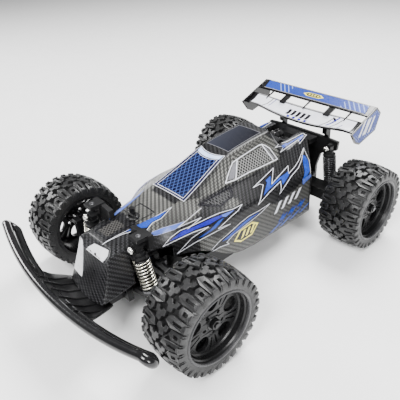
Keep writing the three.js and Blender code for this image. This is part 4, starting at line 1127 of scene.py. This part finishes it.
def build_wing():
    spans = [-74 + 148 * i / 36 for i in range(37)]
    shares = [0.1, 0.3, 0.5, 0.7, 0.9]
    main = sheet_between([wing_row(x, shares) for x in spans], 0.22)
    piece("wing_plane_print", *main, WING_WHITE, "chassis", "wing_white", sharp=60)
    flap = lambda x, s: (x, 171.6 + 14.6 * s, 136.1 + 5.8 * s)
    rows = [[flap(x + (1 - 2 * s) * 1.5, s) for s in (0.08, 0.36, 0.64, 0.92)] for x in spans]
    piece("wing_flap_print", *sheet_between(rows, 0.3), WING_BLUE, "chassis", "wing_blue", sharp=60)
    edges = []
    for s in (0.04, 0.96):
        edges.append(sheet_between([[flap(x, s - 0.02), flap(x, s + 0.02)] for x in spans], 0.36))
    for s in (0.05, 0.95):
        edges.append(sheet_between([wing_row(x, [s - 0.022, s + 0.022]) for x in spans], 0.3))
    piece("wing_border_lines", *merged(*edges), SILVER, "chassis", "wing_white", sharp=60)
    hexagon = [(-15, 0.5), (-9, 0.3), (9, 0.3), (15, 0.5), (9, 0.7), (-9, 0.7)]
    mark = (("wing_mark_edge", 1.0, YELLOW, 0.42), ("wing_mark_field", 0.8, BLACK_INK, 0.5))
    for name, scale, look, lift in mark:
        points = [flap(x * scale, 0.5 + (s - 0.5) * scale) for x, s in hexagon]
        points = [(x, y, z + lift) for x, y, z in points]
        piece(name, points, [(0, 1, 2, 3, 4, 5)], look, "chassis", "wing_blue")
    bars = []
    for k in range(4):
        u = -7.2 + 4.2 * k
        corners = [flap(u, 0.43), flap(u + 2, 0.43), flap(u + 2.8, 0.57), flap(u + 0.8, 0.57)]
        bars.append(([(x, y, z + 0.58) for x, y, z in corners], [(0, 1, 2, 3)]))
    piece("wing_mark_bars", *merged(*bars), YELLOW, "chassis", "wing_blue")
    slashes = [[], []]
    marks = [(-20 + 7 * k, 0.3, 0.68, 4.2, 7, 0) for k in range(5)]
    marks += [(-16 + 8.5 * k, 0.1, 0.26, 4, 4, 1) for k in range(4)]
    marks += [
        (-56, 0.1, 0.9, 1.2, 9, 0), (-49, 0.35, 0.95, 0.9, 9, 1), (33, 0.08, 0.85, 1.3, 15, 0),
        (40, 0.2, 0.9, 2.2, 15, 1), (47, 0.1, 0.8, 1.3, 13, 0), (57, 0.1, 0.5, 0.9, 8, 1),
    ]
    for x, low, high, wide, slant, tone in marks:
        cells = [low + (high - low) * i / 6 for i in range(7)]
        rows = [[wing_row(x + w + slant * (s - low), [s])[0] for s in cells] for w in (0, wide / 2, wide)]
        slashes[tone].append(sheet_between(rows, 0.34))
    piece("wing_slashes_dark", *merged(*slashes[0]), BLACK_INK, "chassis", "wing_white", sharp=60)
    piece("wing_slashes_blue", *merged(*slashes[1]), DEEP_BLUE, "chassis", "wing_white", sharp=60)
    for side, sign in SIDES:
        x = (80.3 + 2.2 + 0.12) * sign
        outline = [
            (139.8, 123.6), (148.6, 112.6), (156.8, 108.8), (187, 115.8), (193.2, 133.2), (184.6, 140.2),
        ]
        faces = [tuple(range(6))] if sign > 0 else [tuple(reversed(range(6)))]
        look = PLATE_BLUE if sign > 0 else PLASTIC
        points = [(x, *p) for p in outline]
        piece(f"end_plate_print_{side}", points, faces, look, "chassis", "wing_blue")
        if sign < 0:
            continue
        bars = []
        for start, wide in ((152, 4), (160, 7), (171, 4)):
            corners = [(start, 116.5), (start + wide, 117), (start + wide + 9, 134), (start + 9, 133.5)]
            bars.append(([(x + 0.1, *p) for p in corners], [(0, 1, 2, 3)]))
        piece(f"end_plate_bars_{side}", *merged(*bars), WHITE, "chassis", "wing_white")
        edge = tube([(x - 0.4, *p) for p in outline], 0.35, 6, True, (1, 0, 0))
        piece(f"end_plate_edge_{side}", *edge, SILVER, "chassis", "wing_white", sharp=80)


# ---------------------------------------------------------------- dummy engine and other trim
def build_engine_trim():
    z = 80
    parts = []
    for k in range(9):
        points, faces = lathe([(-0.55, 0.01), (-0.55, 8.4), (0.55, 8.4), (0.55, 0.01)], 28)
        parts.append(([(p[1], p[2] + 106, p[0] + z + 7 + 2.1 * k) for p in points], faces))
    piece("engine_head_fins", *merged(*parts), GLOSS, "chassis", "black_plastic", sharp=40)
    pipes = []
    for sign in (-1, 1):
        for k in range(3):
            y = 98 + 8 * k
            line = [(sign * (7 + 9 * s), y + 3 * s, z + 20 - 14 * s * s) for s in [i / 10 for i in range(11)]]
            pipes.append(tube(line, 1.7, 12, up=(0, 1, 0)))
    piece("engine_pipes", *merged(*pipes), GLOSS, "chassis", "black_plastic", sharp=60)
    can = [(0, 0.01), (0, 5.2), (1.4, 6.8), (26, 6.8), (27.6, 5.6), (27.8, 3.4), (24, 3.2), (24, 0.01)]
    can = lathe(can, 28)
    bands = []
    for x in (4, 12, 20):
        bands.append(lathe([(x, 6.6), (x, 7.3), (x + 1.6, 7.3), (x + 1.6, 6.6)], 28, closed=True))
    points, faces = merged(can, *bands)
    points = [(-p[1] - 14.5, p[0] + 108.5, p[2] + 99) for p in points]
    piece("exhaust_can", points, faces, GLOSS, "chassis", "black_plastic", sharp=40)
    ribs = []
    for k in range(12):
        ring = [(x, y, z + 4.5 + 1.35 * k) for x, y in circle(6.3, 30, (0, 125))]
        ribs.append(tube(ring, 0.42, 6, True))
    piece("air_filter_ribs", *merged(*ribs), PLASTIC, "chassis", "black_plastic", sharp=80)


def build_screws():
    heads = []
    for x, y, z in ((-38, -116, 101.05), (38, -116, 101.05)):
        points, faces = lathe([(0, 0.01), (0.9, 1.0), (0.7, 2.2), (0, 2.6)], 18)
        heads.append(([(p[1] + x, p[2] + y, p[0] + z - 0.1) for p in points], flipped(faces)))
    collar = lathe([(0, 3.9), (0, 6.6), (1.3, 6.2), (2.1, 4.6), (2.1, 3.9)], 28, closed=True)
    points = [(p[1], p[2] + CLIP_Y, p[0] + 93.6) for p in collar[0]]
    piece("body_post_collar", points, flipped(collar[1]), PLASTIC, "chassis", "black_plastic", sharp=50)
    piece("tower_screws", *merged(*heads), DARK_STEEL, "chassis", "dark_steel", sharp=50)


# ---------------------------------------------------------------- stage, light and camera
def build_stage():
    net = Net("pale_floor")
    colour = net.mix(net.noise(4, 2), (0.86, 0.86, 0.86), (0.9, 0.9, 0.9))
    net.finish(colour, net.uneven(30, 3, 0.55, 0.7))
    mesh = bpy.data.meshes.new("floor")
    mesh.from_pydata([(-6, -6, 0), (6, -6, 0), (6, 6, 0), (-6, 6, 0)], [], [(0, 1, 2, 3)])
    mesh.materials.append(net.material)
    floor = bpy.data.objects.new("floor", mesh)
    bpy.context.scene.collection.objects.link(floor)
    world = bpy.data.worlds.new("studio")
    bpy.context.scene.world = world
    world.use_nodes = True
    world.node_tree.nodes["Background"].inputs[0].default_value = (1, 1, 1, 1)
    world.node_tree.nodes["Background"].inputs[1].default_value = 0.3
    for name, spot, size, power in (
        ("key", (0.3, -1.05, 1.25), 0.6, 46), ("side", (1.35, -0.35, 0.7), 0.5, 22),
        ("top", (-0.25, 0.85, 1.45), 0.8, 62), ("rim", (-1.5, -0.5, 0.9), 0.5, 26),
    ):
        light = bpy.data.lights.new(name, "AREA")
        light.energy = power
        light.size = size
        lamp = bpy.data.objects.new(name, light)
        lamp.location = spot
        lamp.rotation_euler = (Vector((0, 0, 0.06)) - Vector(spot)).to_track_quat("-Z", "Y").to_euler()
        bpy.context.scene.collection.objects.link(lamp)


def build_camera():
    az, el, roll = (math.radians(v) for v in (47.34, 33.6, -2.13))
    back = Vector((math.sin(az) * math.cos(el), -math.cos(az) * math.cos(el), math.sin(el)))
    right = (-back).cross(Vector((0, 0, 1))).normalized()
    up = right.cross(-back)
    turned_right = right * math.cos(roll) + up * math.sin(roll)
    turned_up = -right * math.sin(roll) + up * math.cos(roll)
    basis = Matrix((turned_right, turned_up, back)).transposed().to_4x4()
    camera = bpy.data.cameras.new("camera")
    camera.lens = 40.72
    camera.sensor_width = 36
    camera.shift_x = -0.0492
    camera.shift_y = 0.0410
    camera.clip_start = 0.01
    holder = bpy.data.objects.new("camera", camera)
    holder.matrix_world = Matrix.Translation((0.31705, -0.27729, 0.32677)) @ basis
    bpy.context.scene.collection.objects.link(holder)
    bpy.context.scene.camera = holder


dress_cad()
surface = build_shell()
build_graphics(surface)
build_wheels()
build_shocks()
build_bumper()
build_wing()
build_engine_trim()
build_screws()
build_stage()
build_camera()
